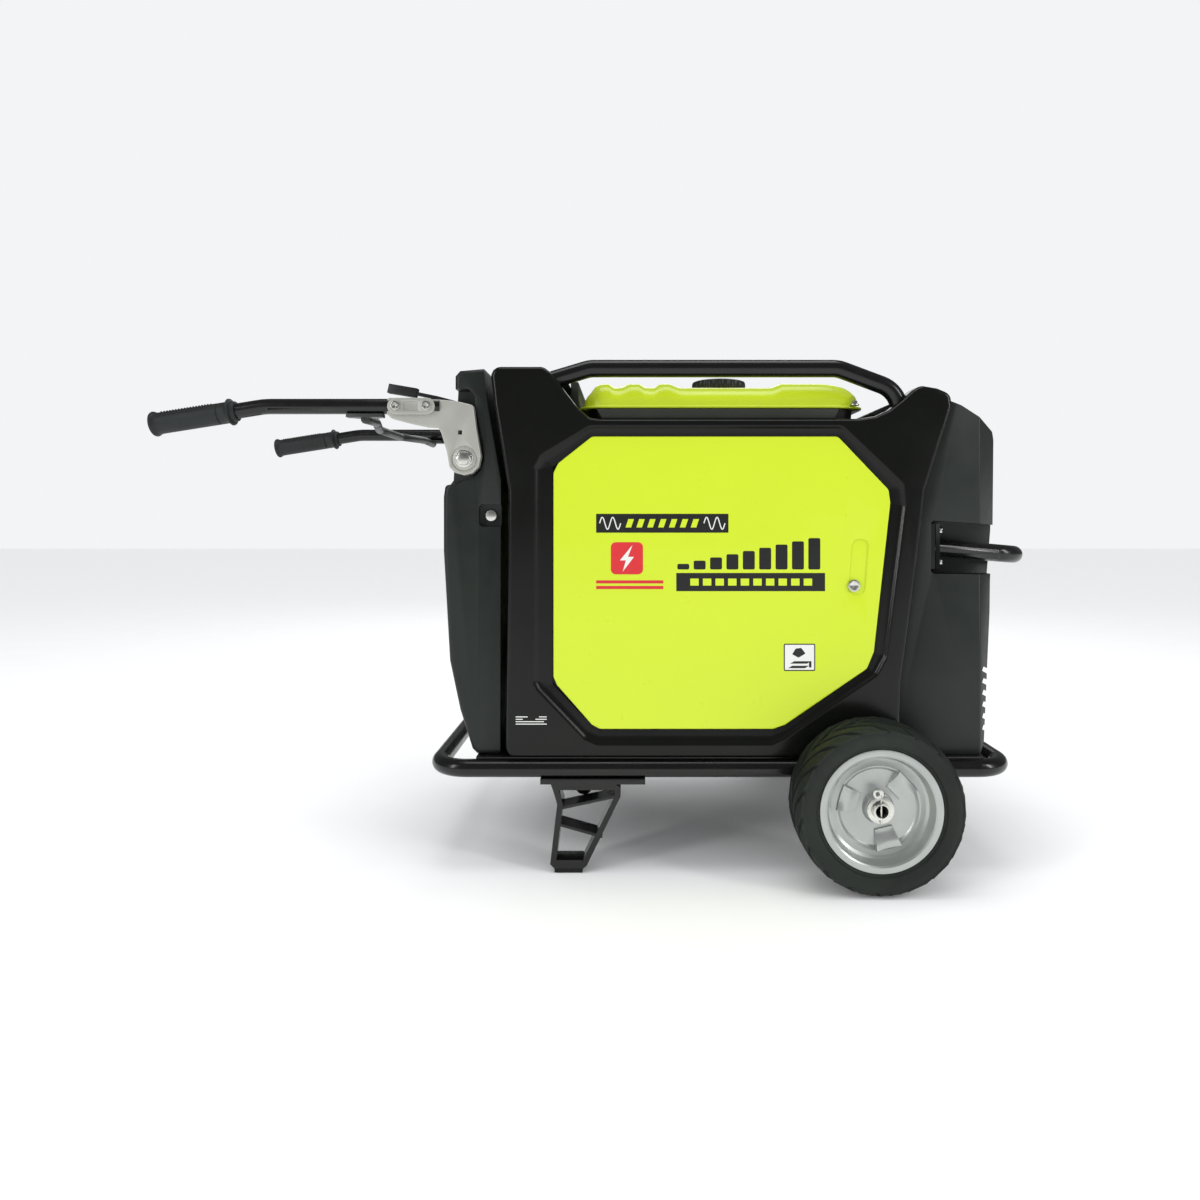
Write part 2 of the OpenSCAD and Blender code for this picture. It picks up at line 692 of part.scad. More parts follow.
module breaker() {
    color([0.1, 0.1, 0.1]) for (y = [98, 122]) along_x(board_x - 5, board_x + 10, y, dial_z, 11.4);
    color([0.1, 0.1, 0.1]) block([board_x + 7, 92.5, dial_z - 4], [board_x + 10, 127.5, dial_z + 4]);
}

module inverter_module() {
    color([0.7, 0.7, 0.7]) {
        block([-160, -150, deck_z + 14], [-96, 150, deck_z + 100]);
        for (y = [-144:16:144]) block([-96.1, y - 2, deck_z + 16], [-70, y + 2, deck_z + 98]);
        for (y = [-120, 120]) block([-150, y - 15, deck_z], [-110, y + 15, deck_z + 14]);
    }
}

module battery() {
    color([0.15, 0.15, 0.16]) {
        block([-64, -180, deck_z], [8, -40, deck_z + 12]);
        block([-61, -176, deck_z + 12], [5, -44, deck_z + 130]);
        for (y = [-160, -60]) translate([-28, y, deck_z + 129]) cylinder(h = 12, d = 16);
    }
}

module engine_block() {
    color([0.45, 0.46, 0.47]) {
        difference() {
            block([120, -95, deck_z + 24], [300, 60, 400]);
            along_y(crank_x, crank_z, -88, 60 + cut, 96);
            along_y(crank_x, crank_z, -96, -80, crank_d + 2 * running_gap);
        }
        difference() {
            along_y(crank_x, crank_z, 50, 66, 104);
            along_y(crank_x, crank_z, 50 - cut, 66 + cut, crank_d + 2 * running_gap);
        }
        for (x = [306:9:360]) block([x, -70, 240], [x + 3, 40, 360]);
        along_x(299, 372, -15, crank_z, 96);
        for (x = [130, 270]) for (y = [-85, 30]) block([x, y, deck_z + 20], [x + 20, y + 20, deck_z + 25]);
    }
}

module cylinder_head() {
    color([0.5, 0.51, 0.52]) {
        block([372, -68, 242], [404, 38, 358]);
        block([404, -58, 252], [420, 28, 348]);
        along_y(388, 300, -92, -68, 14);
    }
}

module stator() {
    color([0.55, 0.3, 0.15]) difference() {
        along_y(crank_x, crank_z, 66, 116, 170);
        along_y(crank_x, crank_z, 66 - cut, 116 + cut, 70);
        for (a = [0:20:340]) translate([crank_x, 0, crank_z]) rotate([0, a, 0])
            block([66, 66 - cut, -4], [90, 116 + cut, 4]);
    }
}

// Crankshaft, outer rotor and cooling fan turn as one piece
module rotor() {
    y1 = 118;
    color([0.5, 0.5, 0.5]) {
        along_y(crank_x, crank_z, -94, y1 + 26, crank_d);
        along_y(crank_x, crank_z, -78, -66, 84);
        along_y(crank_x, crank_z, -38, -26, 84);
        difference() {
            along_y(crank_x, crank_z, rotor_y0, y1 + 6, rotor_d);
            along_y(crank_x, crank_z, rotor_y0 - cut, y1, rotor_d - 40);
        }
        for (a = [0:30:330]) translate([crank_x, 0, crank_z]) rotate([0, a, 0])
            block([60, y1 + 5.9, -2], [112, y1 + 24, 2]);
    }
}

module fan_shroud() {
    color(satin_black) difference() {
        block([72, 70, deck_z + 6], [348, 150, 438]);
        block([76, 70 - cut, deck_z + 10], [344, 147, 434]);
        along_y(crank_x, crank_z, 140, 160, 150);
        along_y(crank_x, crank_z, 60, 80, rotor_d + 8);
    }
}

module recoil_housing() {
    color([0.2, 0.2, 0.2]) difference() {
        union() {
            along_y(crank_x, crank_z, 150, 194, 170);
            block([rope_x - 14, 178, crank_z], [rope_x + 14, 200, rope_z + 12]);
        }
        along_y(crank_x, crank_z, 150 - cut, 191, 162);
        block([rope_x - 10, 185, crank_z], [rope_x + 10, 196, rope_z + 8]);
        along_y(rope_x, rope_z, 180, 210, 8);
    }
    color([0.2, 0.2, 0.2]) along_y(crank_x, crank_z, 158, 192, 12);
}

module recoil_reel() {
    color([0.3, 0.3, 0.3]) difference() {
        union() {
            along_y(crank_x, crank_z, reel_y - 12, reel_y - 8, reel_d + 24);
            along_y(crank_x, crank_z, reel_y - 8.1, reel_y + 8.1, reel_d - 20);
            along_y(crank_x, crank_z, reel_y + 8, reel_y + 12, reel_d + 24);
        }
        along_y(crank_x, crank_z, reel_y - 20, reel_y + 20, 12 + 2 * running_gap);
        for (a = [0:60:300]) translate([crank_x, 0, crank_z]) rotate([0, a, 0]) translate([16, 0, 0])
            rotate([90, 0, 0]) translate([0, 0, -reel_y - 20]) cylinder(h = 40, d = 8);
    }
}

module starter_grip() {
    low = panel_y + 3;
    color([0.1, 0.1, 0.1]) difference() {
        block([rope_x - 42, low, rope_z - 11], [rope_x + 42, low + 20, rope_z + 11]);
        along_y(rope_x, rope_z, low + 12, low + 20 + cut, 10);
        for (side = [-1, 1]) translate([rope_x + side * 42, low + 4, rope_z - 20]) cylinder(h = 40, d = 16);
    }
}

module starter_rope() {
    color([0.85, 0.85, 0.8]) along_y(rope_x, rope_z, 197, panel_y + 3, rope_d);
}

module muffler() {
    color([0.5, 0.48, 0.45]) {
        difference() {
            side_slab([[450, 200], [538, 200], [546, 208], [546, 392], [538, 400], [450, 400], [442, 392],
                [442, 208]], -130, 110);
            along_x(530, 560, -60, 240, 34);
        }
        along_x(420.1, 443, -30, 320, 32);
    }
}

module air_filter_box() {
    color(satin_black) {
        block([10, -190, 330], [112, -110, 470]);
        block([6, -150, 470], [116, -100, 480]);
        along_x(20, 100, -100, 440, 46);
    }
}

module carburettor() {
    color([0.6, 0.6, 0.6]) difference() {
        union() {
            along_x(100, 150, -100, 440, 40);
            block([112, -130, 404], [144, -72, 428]);
            along_x(150, 340, -60, 430, 30);
        }
        along_x(100 - cut, 150 - 3, -100, 440, 24);
    }
}

module engine_mounts() {
    color([0.12, 0.12, 0.12]) for (x = [140, 280]) for (y = [-75, 40])
        translate([x, y, deck_z]) cylinder(h = 20, d = 32);
}

module handle_bar() {
    color(gloss_black) bent_bar(at_y([[handle_start_x, handle_z], [handle_bend_x, handle_z], bar_end], -handle_y),
        120, handle_d, handle_d - 2 * tube_wall);
}
module handle_bar_near() { handle_bar(); }
module handle_bar_far() { mirror([0, 1, 0]) handle_bar(); }

// Rubber grip with an outer bell and an inner disc
module grip() {
    bore = handle_d;
    tip = [bar_end.x, -handle_y, bar_end.y];
    color([0.15, 0.16, 0.16]) translate(tip) rotate([0, 90 - grip_drop, 0]) difference() {
        union() {
            translate([0, 0, -4]) cylinder(h = grip_l, d = grip_d);
            translate([0, 0, -4]) cylinder(h = 4, d = grip_d + 5);
            cylinder(h = 5, d1 = grip_d + 5, d2 = grip_d);
            translate([0, 0, grip_l - 10]) cylinder(h = 3.5, d = grip_d + 8);
        }
        cylinder(h = grip_l + cut, d = bore);
    }
}
module grip_near() { grip(); }
module grip_far() { mirror([0, 1, 0]) grip(); }

module bracket() {
    color(cast_grey) difference() {
        union() {
            side_slab(bracket_outline, -bracket_out_y, -bracket_in_y);
            along_y(bracket_screw_xs[0], handle_z, -bracket_pad_y, -bracket_out_y + cut, bracket_pad_d);
            along_y(bracket_screw_xs[1], handle_z, -bracket_pad_y, -bracket_out_y + cut, bracket_pad_d);
            block([bracket_screw_xs[0], -bracket_pad_y, handle_z - bracket_pad_d / 2],
                [bracket_screw_xs[1], -bracket_out_y + cut, handle_z + bracket_pad_d / 2]);
        }
        straight([handle_start_x, -handle_y, handle_z], [-320, -handle_y, handle_z], handle_d);
        along_y(pivot_x, pivot_z, -bracket_out_y - cut, 0, pivot_bolt_d + 2 * running_gap);
        along_y(pivot_x, pivot_z, -bracket_out_y - cut, -bracket_out_y + 0.01, 34);
        block([-272, -bracket_pad_y - cut, handle_z - 6], [-252, -bracket_pad_y + 1.6, handle_z + 6]);
        block([-196, -bracket_out_y - cut, 624], [-190, -bracket_in_y + cut, 630]);
        for (x = bracket_screw_xs) along_y(x, handle_z, -bracket_pad_y - cut, -handle_y, bracket_screw_d);
    }
}
module bracket_near() { bracket(); }
module bracket_far() { mirror([0, 1, 0]) bracket(); }

module bracket_screws() {
    color(steel) both_sides() for (x = bracket_screw_xs) difference() {
        union() {
            along_y(x, handle_z, -bracket_pad_y - 2.6, -bracket_pad_y, 13);
            along_y(x, handle_z, -bracket_pad_y - 1, -handle_y - handle_d / 2 + tube_wall, bracket_screw_d);
        }
        block([x - 3.5, -bracket_pad_y - 3.6, handle_z - 0.7], [x + 3.5, -bracket_pad_y - 1.2, handle_z + 0.7]);
        block([x - 0.7, -bracket_pad_y - 3.6, handle_z - 3.5], [x + 0.7, -bracket_pad_y - 1.2, handle_z + 3.5]);
    }
}

// Bowed bar between the handles, with flattened ends under the tubes
brace_d = 13;
brace_z = handle_z - handle_d / 2 - brace_d / 2 - 0.2;
brace_path = [[-332, -handle_y + 4, brace_z], [-334, -150, brace_z + 2], [-356, -60, brace_z],
    [-356, 60, brace_z], [-334, 150, brace_z + 2], [-332, handle_y - 4, brace_z]];
module cross_brace() {
    z1 = handle_z - handle_d / 2;
    color([0.3, 0.31, 0.3]) {
        bent_bar(brace_path, 60, brace_d);
        both_sides() difference() {
            block([-356, -handle_y - 9, z1 - 5], [-304, -handle_y + 14, z1]);
            translate([-356, -handle_y + 18, z1 - 10]) cylinder(h = 20, r = 12);
            translate([-304, -handle_y + 18, z1 - 10]) cylinder(h = 20, r = 12);
        }
    }
}

// Sprung lever that locks the handle, carried inside the near bracket
module latch_lever() {
    y0 = -bracket_in_y + 0.4;
    y1 = y0 + 7;
    color(gloss_black) difference() {
        union() {
            side_slab([[-179, 660], [-178, 666], [-198, 673], [-228, 681], [-262, 688], [-263, 683], [-232, 676.5],
                [-216, 674.5], [-208, 648], [-194, 648]], y0, y1);
            side_slab([[-298, 699], [-301, 686], [-260, 679], [-257, 692]], y0 - 2, y1 + 4);
        }
        along_y(latch_x, latch_z, y0 - cut, y1 + cut, 6 + 2 * running_gap);
    }
}

// Tyre with angled lugs
module tyre() {
    y0 = wheel_in_y;
    color([0.15, 0.18, 0.15]) difference() {
        translate([axle_x, 0, axle_z]) rotate([90, 0, 0]) rotate_extrude($fn = 72)
            polygon([[rim_r + 0.3, y0 + 8], [wheel_r - 14, y0], [wheel_r - 3, y0 + 7],
                [wheel_r, y0 + 18], [wheel_r, y0 + wheel_w - 18], [wheel_r - 3, y0 + wheel_w - 7],
                [wheel_r - 14, y0 + wheel_w], [rim_r + 0.3, y0 + wheel_w - 8]]);
        translate([axle_x, 0, axle_z]) for (a = [0:20:340]) rotate([0, a, 0])
            for (end = [0, 1]) translate([0, -y0 - end * wheel_w, wheel_r]) rotate([0, 0, 30 - 60 * end])
                block([-3.5, -22, -4], [3.5, 22, 6]);
    }
}
module tyre_near() { tyre(); }
module tyre_far() { mirror([0, 1, 0]) tyre(); }

// Pressed steel rim: barrel, dished web and hub
module rim() {
    y0 = wheel_in_y + 8;
    y1 = wheel_in_y + wheel_w - 8;
    color([0.55, 0.59, 0.58]) translate([axle_x, 0, axle_z]) rotate([90, 0, 0]) difference() {
        union() {
            rotate_extrude($fn = 72) polygon([[rim_r, y0], [rim_r, y1 + 1], [rim_r - 3, y1 + 3], [rim_r - 8, y1 + 3],
                [rim_r - 12, y1 - 2], [58, web_y - 3], [55, web_y], [hub_d / 2 - 1, web_y],
                [hub_d / 2 - 1, web_y - 4], [56, web_y - 4], [60, web_y - 8], [rim_r - 14, y0 + 6],
                [rim_r - 14, y0]]);
            translate([0, 0, hub_in_y]) cylinder(h = hub_out_y - hub_in_y, d = hub_d);
        }
        translate([0, 0, hub_in_y - cut]) cylinder(h = wheel_w, d = axle_d + 2 * running_gap);
    }
}
module rim_near() { rim(); }
module rim_far() { mirror([0, 1, 0]) rim(); }

base_loop();
cross_members();
top_rail_near();
top_rail_far();
rear_bar();
foot_near();
foot_far();
foot_pads();
axle();
axle_brackets();
wheel_retainers();
pivot_bolts();
side_cover_near();
side_cover_far();
side_panel_far();
front_cover();
rear_cover();
top_covers();
top_trim();
fasteners();
bottom_tray();
fuel_tank();
control_panel();
outlets();
inverter_module();
battery();
engine_block();
cylinder_head();
stator();
fan_shroud();
recoil_housing();
muffler();
air_filter_box();
carburettor();
engine_mounts();
door_hinge();
handle_bar_near();
handle_bar_far();
grip_near();
grip_far();
bracket_near();
bracket_far();
bracket_screws();
cross_brace();
latch_lever();
tyre_near();
rim_near();
tyre_far();
rim_far();
service_door();
door_lock();
fuel_cap();
rotor();
recoil_reel();
starter_grip();
starter_rope();
engine_switch();
eco_switch();
breaker();
outlet_cover();
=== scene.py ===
import json
from math import atan2, cos, pi, radians, sin, sqrt, tan

import bmesh
import bpy
from mathutils import Matrix, Vector


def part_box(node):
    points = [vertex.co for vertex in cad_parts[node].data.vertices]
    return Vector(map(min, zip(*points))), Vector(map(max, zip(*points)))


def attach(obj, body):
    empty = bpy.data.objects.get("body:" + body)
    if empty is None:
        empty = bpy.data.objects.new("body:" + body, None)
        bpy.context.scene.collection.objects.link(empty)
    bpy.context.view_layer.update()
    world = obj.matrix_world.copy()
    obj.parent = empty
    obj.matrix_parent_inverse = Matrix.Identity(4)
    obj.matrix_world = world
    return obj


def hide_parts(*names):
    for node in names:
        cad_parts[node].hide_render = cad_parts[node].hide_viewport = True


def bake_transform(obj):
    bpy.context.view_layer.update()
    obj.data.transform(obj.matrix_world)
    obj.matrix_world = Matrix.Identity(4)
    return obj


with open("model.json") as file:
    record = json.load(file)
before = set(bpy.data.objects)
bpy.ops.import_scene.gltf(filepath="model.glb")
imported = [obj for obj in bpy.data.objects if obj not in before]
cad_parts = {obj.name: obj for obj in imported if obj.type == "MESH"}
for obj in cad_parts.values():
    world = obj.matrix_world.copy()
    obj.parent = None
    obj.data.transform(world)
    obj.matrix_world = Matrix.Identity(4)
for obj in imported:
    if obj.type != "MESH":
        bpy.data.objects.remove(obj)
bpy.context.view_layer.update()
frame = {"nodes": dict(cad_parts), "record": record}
mm = 0.001
record = frame["record"]
bodyOf = {node: body for body, members in record["behaviour"]["bodies"].items() for node in members}
slotOf = {part["node"]: part["material_slot"] for part in record["subparts"]}
scene = bpy.context.scene
print("frame loaded:", len(frame["nodes"]), "nodes")


camera = {
    "place": (0.0504, -1.431, 0.506),
    "lens": 25.35,
    "shift": (-0.025, -0.0692),
}
camData = bpy.data.cameras.new("camera")
camData.lens = camera["lens"]
camData.sensor_width = 36
camData.shift_x, camData.shift_y = camera["shift"]
camData.clip_start = 0.05
camObject = bpy.data.objects.new("camera", camData)
camObject.location = camera["place"]
camObject.rotation_euler = (radians(90), 0, 0)
scene.collection.objects.link(camObject)
scene.camera = camObject
scene.view_settings.view_transform = "Standard"
scene.view_settings.look = "None"


def makeFinish(name, look):
    # one painted, moulded or plated surface: broad tone, fine grain, uneven gloss
    mat = bpy.data.materials.new(name)
    mat.use_nodes = True
    nodes, links = mat.node_tree.nodes, mat.node_tree.links
    shader = nodes["Principled BSDF"]
    coords = nodes.new("ShaderNodeTexCoord")
    stretch = nodes.new("ShaderNodeMapping")
    stretch.inputs["Scale"].default_value = look.get("stretch", (1, 1, 1))
    links.new(coords.outputs["Object"], stretch.inputs["Vector"])

    def noise(scale, detail, rough=0.55):
        node = nodes.new("ShaderNodeTexNoise")
        node.inputs["Scale"].default_value = scale
        node.inputs["Detail"].default_value = detail
        node.inputs["Roughness"].default_value = rough
        links.new(stretch.outputs["Vector"], node.inputs["Vector"])
        return node

    def ramp(source, low, high, start=0.35, end=0.65):
        node = nodes.new("ShaderNodeValToRGB")
        node.color_ramp.elements[0].position = start
        node.color_ramp.elements[1].position = end
        node.color_ramp.elements[0].color = (*low, 1)
        node.color_ramp.elements[1].color = (*high, 1)
        links.new(source.outputs["Fac"], node.inputs["Fac"])
        return node

    base = look["color"]
    spread = look.get("spread", 0.12)
    low = [c * (1 - spread) for c in base]
    high = [min(1, c * (1 + spread)) for c in base]
    broad = noise(look.get("patch", 9), 3)
    tone = ramp(broad, low, high)
    grain = noise(look.get("grain", 900), 4)
    if look.get("speck"):
        # tiny lighter specks, as dust or moulding texture gives
        dots = ramp(grain, (0, 0, 0), (1, 1, 1), 0.62, 0.74)
        mix = nodes.new("ShaderNodeMix")
        mix.data_type = "RGBA"
        links.new(dots.outputs["Color"], mix.inputs["Factor"])
        links.new(tone.outputs["Color"], mix.inputs["A"])
        mix.inputs["B"].default_value = (*look["speck"], 1)
        links.new(mix.outputs["Result"], shader.inputs["Base Color"])
    else:
        links.new(tone.outputs["Color"], shader.inputs["Base Color"])
    rough = look["rough"]
    swing = look.get("swing", 0.06)
    gloss = ramp(noise(look.get("smear", 35), 5, 0.65), (rough - swing,) * 3, (rough + swing,) * 3, 0.3, 0.7)
    links.new(gloss.outputs["Color"], shader.inputs["Roughness"])
    bump = nodes.new("ShaderNodeBump")
    bump.inputs["Strength"].default_value = look.get("bump", 0.1)
    bump.inputs["Distance"].default_value = look.get("depth", 0.0002)
    links.new(grain.outputs["Fac"], bump.inputs["Height"])
    links.new(bump.outputs["Normal"], shader.inputs["Normal"])
    shader.inputs["Metallic"].default_value = look.get("metal", 0)
    shader.inputs["Coat Weight"].default_value = look.get("coat", 0)
    shader.inputs["Coat Roughness"].default_value = look.get("coatRough", 0.08)
    shader.inputs["Specular IOR Level"].default_value = look.get("specular", 0.5)
    mat.diffuse_color = (*base, 1)
    return mat


looks = {
    "frame_black": {"color": (0.0045, 0.0045, 0.0042), "rough": 0.24, "grain": 420, "bump": 0.025,
                    "specular": 0.4, "coat": 0.12, "coatRough": 0.12},
    "gloss_cover": {"color": (0.0042, 0.0048, 0.0038), "rough": 0.23, "grain": 240, "bump": 0.02,
                    "specular": 0.24, "coat": 0.06, "coatRough": 0.10, "smear": 14, "swing": 0.04},
    "satin_cover": {"color": (0.0125, 0.0165, 0.014), "rough": 0.40, "grain": 1500, "bump": 0.16,
                    "spread": 0.1, "specular": 0.32, "speck": (0.02, 0.025, 0.022)},
    "lime_paint": {"color": (0.575, 0.72, 0.018), "rough": 0.30, "grain": 330, "bump": 0.02, "coat": 0.35,
                   "spread": 0.012, "patch": 3, "coatRough": 0.07, "swing": 0.03, "specular": 0.4},
    "trim_grey": {"color": (0.024, 0.027, 0.02), "rough": 0.5, "grain": 1400, "bump": 0.12, "specular": 0.3},
    "cast_aluminium": {"color": (0.46, 0.46, 0.42), "rough": 0.46, "grain": 1100, "bump": 0.25, "metal": 0.55,
                       "spread": 0.07, "speck": (0.56, 0.56, 0.52)},
    "zinc_steel": {"color": (0.66, 0.66, 0.62), "rough": 0.26, "grain": 1800, "bump": 0.12, "metal": 1.0,
                   "stretch": (1, 1, 6)},
    "rubber": {"color": (0.010, 0.010, 0.010), "rough": 0.7, "grain": 900, "bump": 0.3, "specular": 0.3},
    "grip_rubber": {"color": (0.014, 0.018, 0.017), "rough": 0.55, "grain": 1300, "bump": 0.25,
                    "specular": 0.35, "speck": (0.026, 0.03, 0.029)},
    "tyre_rubber": {"color": (0.011, 0.015, 0.012), "rough": 0.62, "grain": 650, "bump": 0.3, "spread": 0.25,
                    "specular": 0.35, "speck": (0.019, 0.024, 0.02)},
    "rim_grey": {"color": (0.47, 0.49, 0.475), "rough": 0.36, "grain": 800, "bump": 0.06, "metal": 0.75,
                 "spread": 0.04, "coat": 0.25},
    "panel_grey": {"color": (0.05, 0.055, 0.055), "rough": 0.45, "grain": 1300, "bump": 0.15},
    "black_plastic": {"color": (0.011, 0.011, 0.011), "rough": 0.42, "grain": 1300, "bump": 0.2,
                      "speck": (0.02, 0.02, 0.02)},
    "engine_alloy": {"color": (0.34, 0.35, 0.36), "rough": 0.5, "grain": 700, "bump": 0.4, "metal": 0.8},
    "copper_winding": {"color": (0.42, 0.18, 0.07), "rough": 0.4, "metal": 0.9, "stretch": (1, 30, 1)},
    "heat_steel": {"color": (0.26, 0.22, 0.18), "rough": 0.45, "metal": 0.9, "spread": 0.35, "patch": 14},
    "iron": {"color": (0.2, 0.2, 0.2), "rough": 0.4, "metal": 0.9, "grain": 900, "bump": 0.2},
    "brace_grey": {"color": (0.035, 0.038, 0.035), "rough": 0.4, "grain": 900, "bump": 0.12},
    "rope_cord": {"color": (0.6, 0.6, 0.55), "rough": 0.8, "grain": 2500, "bump": 0.6, "stretch": (1, 6, 1)},
    "red_plastic": {"color": (0.45, 0.02, 0.02), "rough": 0.3, "grain": 900, "bump": 0.06, "coat": 0.2},
    "printBlack": {"color": (0.008, 0.008, 0.008), "rough": 0.34, "grain": 600, "bump": 0.05},
    "printRed": {"color": (0.62, 0.022, 0.028), "rough": 0.32, "grain": 600, "bump": 0.05, "spread": 0.05},
    "printWhite": {"color": (0.74, 0.75, 0.72), "rough": 0.4, "grain": 600, "bump": 0.05, "spread": 0.04},
    "floorPaper": {"color": (0.93, 0.93, 0.93), "rough": 0.95, "spread": 0.006, "bump": 0.02,
                   "specular": 0.05},
}
finish = {name: makeFinish(name, look) for name, look in looks.items()}
print("finishes made:", len(finish))


def newPiece(name, bm, look, body, sharp=35, replaces=()):
    mesh = bpy.data.meshes.new(name)
    bm.to_mesh(mesh)
    bm.free()
    mesh.materials.append(finish[look])
    mesh.shade_smooth()
    mesh.set_sharp_from_angle(angle=radians(sharp))
    piece = bpy.data.objects.new(name, mesh)
    scene.collection.objects.link(piece)
    if body:
        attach(piece, body)
    if replaces:
        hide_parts(*replaces)
    return piece


def softened(node, width):
    # a merged copy of a CAD node with rounded edges
    bm = bmesh.new()
    bm.from_mesh(frame["nodes"][node].data)
    bmesh.ops.remove_doubles(bm, verts=bm.verts, dist=0.00002)
    bmesh.ops.dissolve_limit(bm, angle_limit=radians(0.6), verts=bm.verts, edges=bm.edges)
    edges = [e for e in bm.edges if len(e.link_faces) == 2 and e.calc_face_angle(0) > radians(30)]
    if width:
        bmesh.ops.bevel(bm, geom=edges, offset=width * mm, segments=2, profile=0.5,
                        affect="EDGES", clamp_overlap=True, material=-1)
    return newPiece(node + "_finished", bm, slotOf[node], bodyOf[node], 35, (node,))


def rounded(points, radius, steps=5):
    # the outline with each corner turned into an arc
    out = []
    count = len(points)
    for i, corner in enumerate(points):
        before, after = Vector(points[i - 1]), Vector(points[(i + 1) % count])
        corner = Vector(corner)
        u, v = (before - corner), (after - corner)
        half = u.angle(v) / 2
        trim = min(radius / tan(half), u.length * 0.48, v.length * 0.48)
        u.normalize()
        v.normalize()
        start, end = corner + u * trim, corner + v * trim
        centre = corner + (u + v).normalized() * (trim / cos(half))
        arm = (start - centre).length
        for k in range(steps + 1):
            spoke = start.lerp(end, k / steps) - centre
            out.append(centre + spoke.normalized() * arm)
    return out


def sideLoop(bm, outline, y):
    # a closed loop of edges in the side view, at depth y
    verts = [bm.verts.new((p[0] * mm, y * mm, p[1] * mm)) for p in outline]
    return [bm.edges.new((verts[i - 1], verts[i])) for i in range(len(verts))]


def widen(outline, d):
    # moves every side of the outline outwards by d, or inwards where d is negative
    out = []
    count = len(outline)
    area = sum(outline[i - 1][0] * outline[i][1] - outline[i][0] * outline[i - 1][1] for i in range(count))
    turn = 1 if area > 0 else -1
    for i in range(count):
        a, b, c = Vector(outline[i - 1]), Vector(outline[i]), Vector(outline[(i + 1) % count])
        u, v = (b - a).normalized(), (c - b).normalized()
        m = Vector((u.y + v.y, -u.x - v.x)) * turn
        out.append(b + m * (d / (1 + u.dot(v))))
    return out


def bridge(bm, one, two):
    bmesh.ops.bridge_loops(bm, edges=one + two)


def ladder(bm, one, two):
    # joins two loops that have the same number of points, edge by edge
    for a, b in zip(one, two):
        bm.faces.new((a.verts[0], a.verts[1], b.verts[1], b.verts[0]))


def flatten(bm, edges):
    bmesh.ops.triangle_fill(bm, use_beauty=True, use_dissolve=False, edges=edges)


def mirrorY(bm):
    bmesh.ops.scale(bm, vec=(1, -1, 1), verts=bm.verts)
    bmesh.ops.reverse_faces(bm, faces=bm.faces)


def outwards(bm):
    bmesh.ops.remove_doubles(bm, verts=bm.verts, dist=0.000005)
    bmesh.ops.recalc_face_normals(bm, faces=bm.faces)


def addBox(bm, low, high, soften=0.0):
    # a block between two corners in millimetres, its edges rounded
    made = bmesh.ops.create_cube(bm, size=1)["verts"]
    size = Vector(high) - Vector(low)
    bmesh.ops.scale(bm, vec=size * mm, verts=made)
    bmesh.ops.translate(bm, vec=(Vector(low) + size / 2) * mm, verts=made)
    if soften:
        edges = list({e for v in made for e in v.link_edges})
        bmesh.ops.bevel(bm, geom=edges, offset=soften * mm, segments=2, profile=0.5,
                        affect="EDGES", clamp_overlap=True, material=-1)


def addRod(bm, start, end, r1, r2=None, segments=32, soften=0.0):
    # a rod or cone between two points in millimetres
    a, b = Vector(start) * mm, Vector(end) * mm
    turn = (b - a).to_track_quat("Z", "Y").to_matrix().to_4x4()
    place = Matrix.Translation((a + b) / 2) @ turn
    made = bmesh.ops.create_cone(bm, cap_ends=True, segments=segments, radius1=r1 * mm,
                                 radius2=(r1 if r2 is None else r2) * mm, depth=(b - a).length,
                                 matrix=place)["verts"]
    if soften:
        caps = [e for e in {e for v in made for e in v.link_edges} if e.calc_face_angle(0) > radians(50)]
        bmesh.ops.bevel(bm, geom=caps, offset=soften * mm, segments=2, profile=0.5, affect="EDGES",
                        clamp_overlap=True, material=-1)
    return made


def addSpin(bm, profile, centre, axis="Y", steps=72):
    # spins a closed (radius, along) profile about an axis through centre, millimetres
    ring = []
    for radius, along in profile:
        spot = {"Y": (radius, along, 0), "Z": (radius, 0, along), "X": (along, radius, 0)}[axis]
        ring.append(bm.verts.new((Vector(spot) + Vector(centre)) * mm))
    edges = [bm.edges.new((ring[i - 1], ring[i])) for i in range(len(ring))]
    way = {"Y": (0, 1, 0), "Z": (0, 0, 1), "X": (1, 0, 0)}[axis]
    bmesh.ops.spin(bm, geom=ring + edges, cent=Vector(centre) * mm, axis=way, angle=2 * pi,
                   steps=steps, use_merge=True)


def addForm(bm, place, pick, cuts, soften=0.0):
    # a unit block, cut along the picked edges, whose points are put where place says
    block = bmesh.new()
    bmesh.ops.create_cube(block, size=2)
    edges = [e for e in block.edges if pick(e.verts[1].co - e.verts[0].co)]
    bmesh.ops.subdivide_edges(block, edges=edges, cuts=cuts, use_grid_fill=True)
    for v in block.verts:
        v.co = Vector(place(v.co.copy())) * mm
    bmesh.ops.recalc_face_normals(block, faces=block.faces)
    if soften:
        sharpEdges = [e for e in block.edges if e.calc_face_angle(0) > radians(35)]
        bmesh.ops.bevel(block, geom=sharpEdges, offset=soften * mm, segments=3, profile=0.5, affect="EDGES",
                        clamp_overlap=True, material=-1)
    mesh = bpy.data.meshes.new("block")
    block.to_mesh(mesh)
    block.free()
    bm.from_mesh(mesh)
    bpy.data.meshes.remove(mesh)


def settle(piece, sharp=35):
    # turns a piece's modifiers into mesh
    bpy.context.view_layer.update()
    done = bpy.data.meshes.new_from_object(piece.evaluated_get(bpy.context.evaluated_depsgraph_get()))
    piece.modifiers.clear()
    old = piece.data
    piece.data = done
    bpy.data.meshes.remove(old)
    done.shade_smooth()
    done.set_sharp_from_angle(angle=radians(sharp))


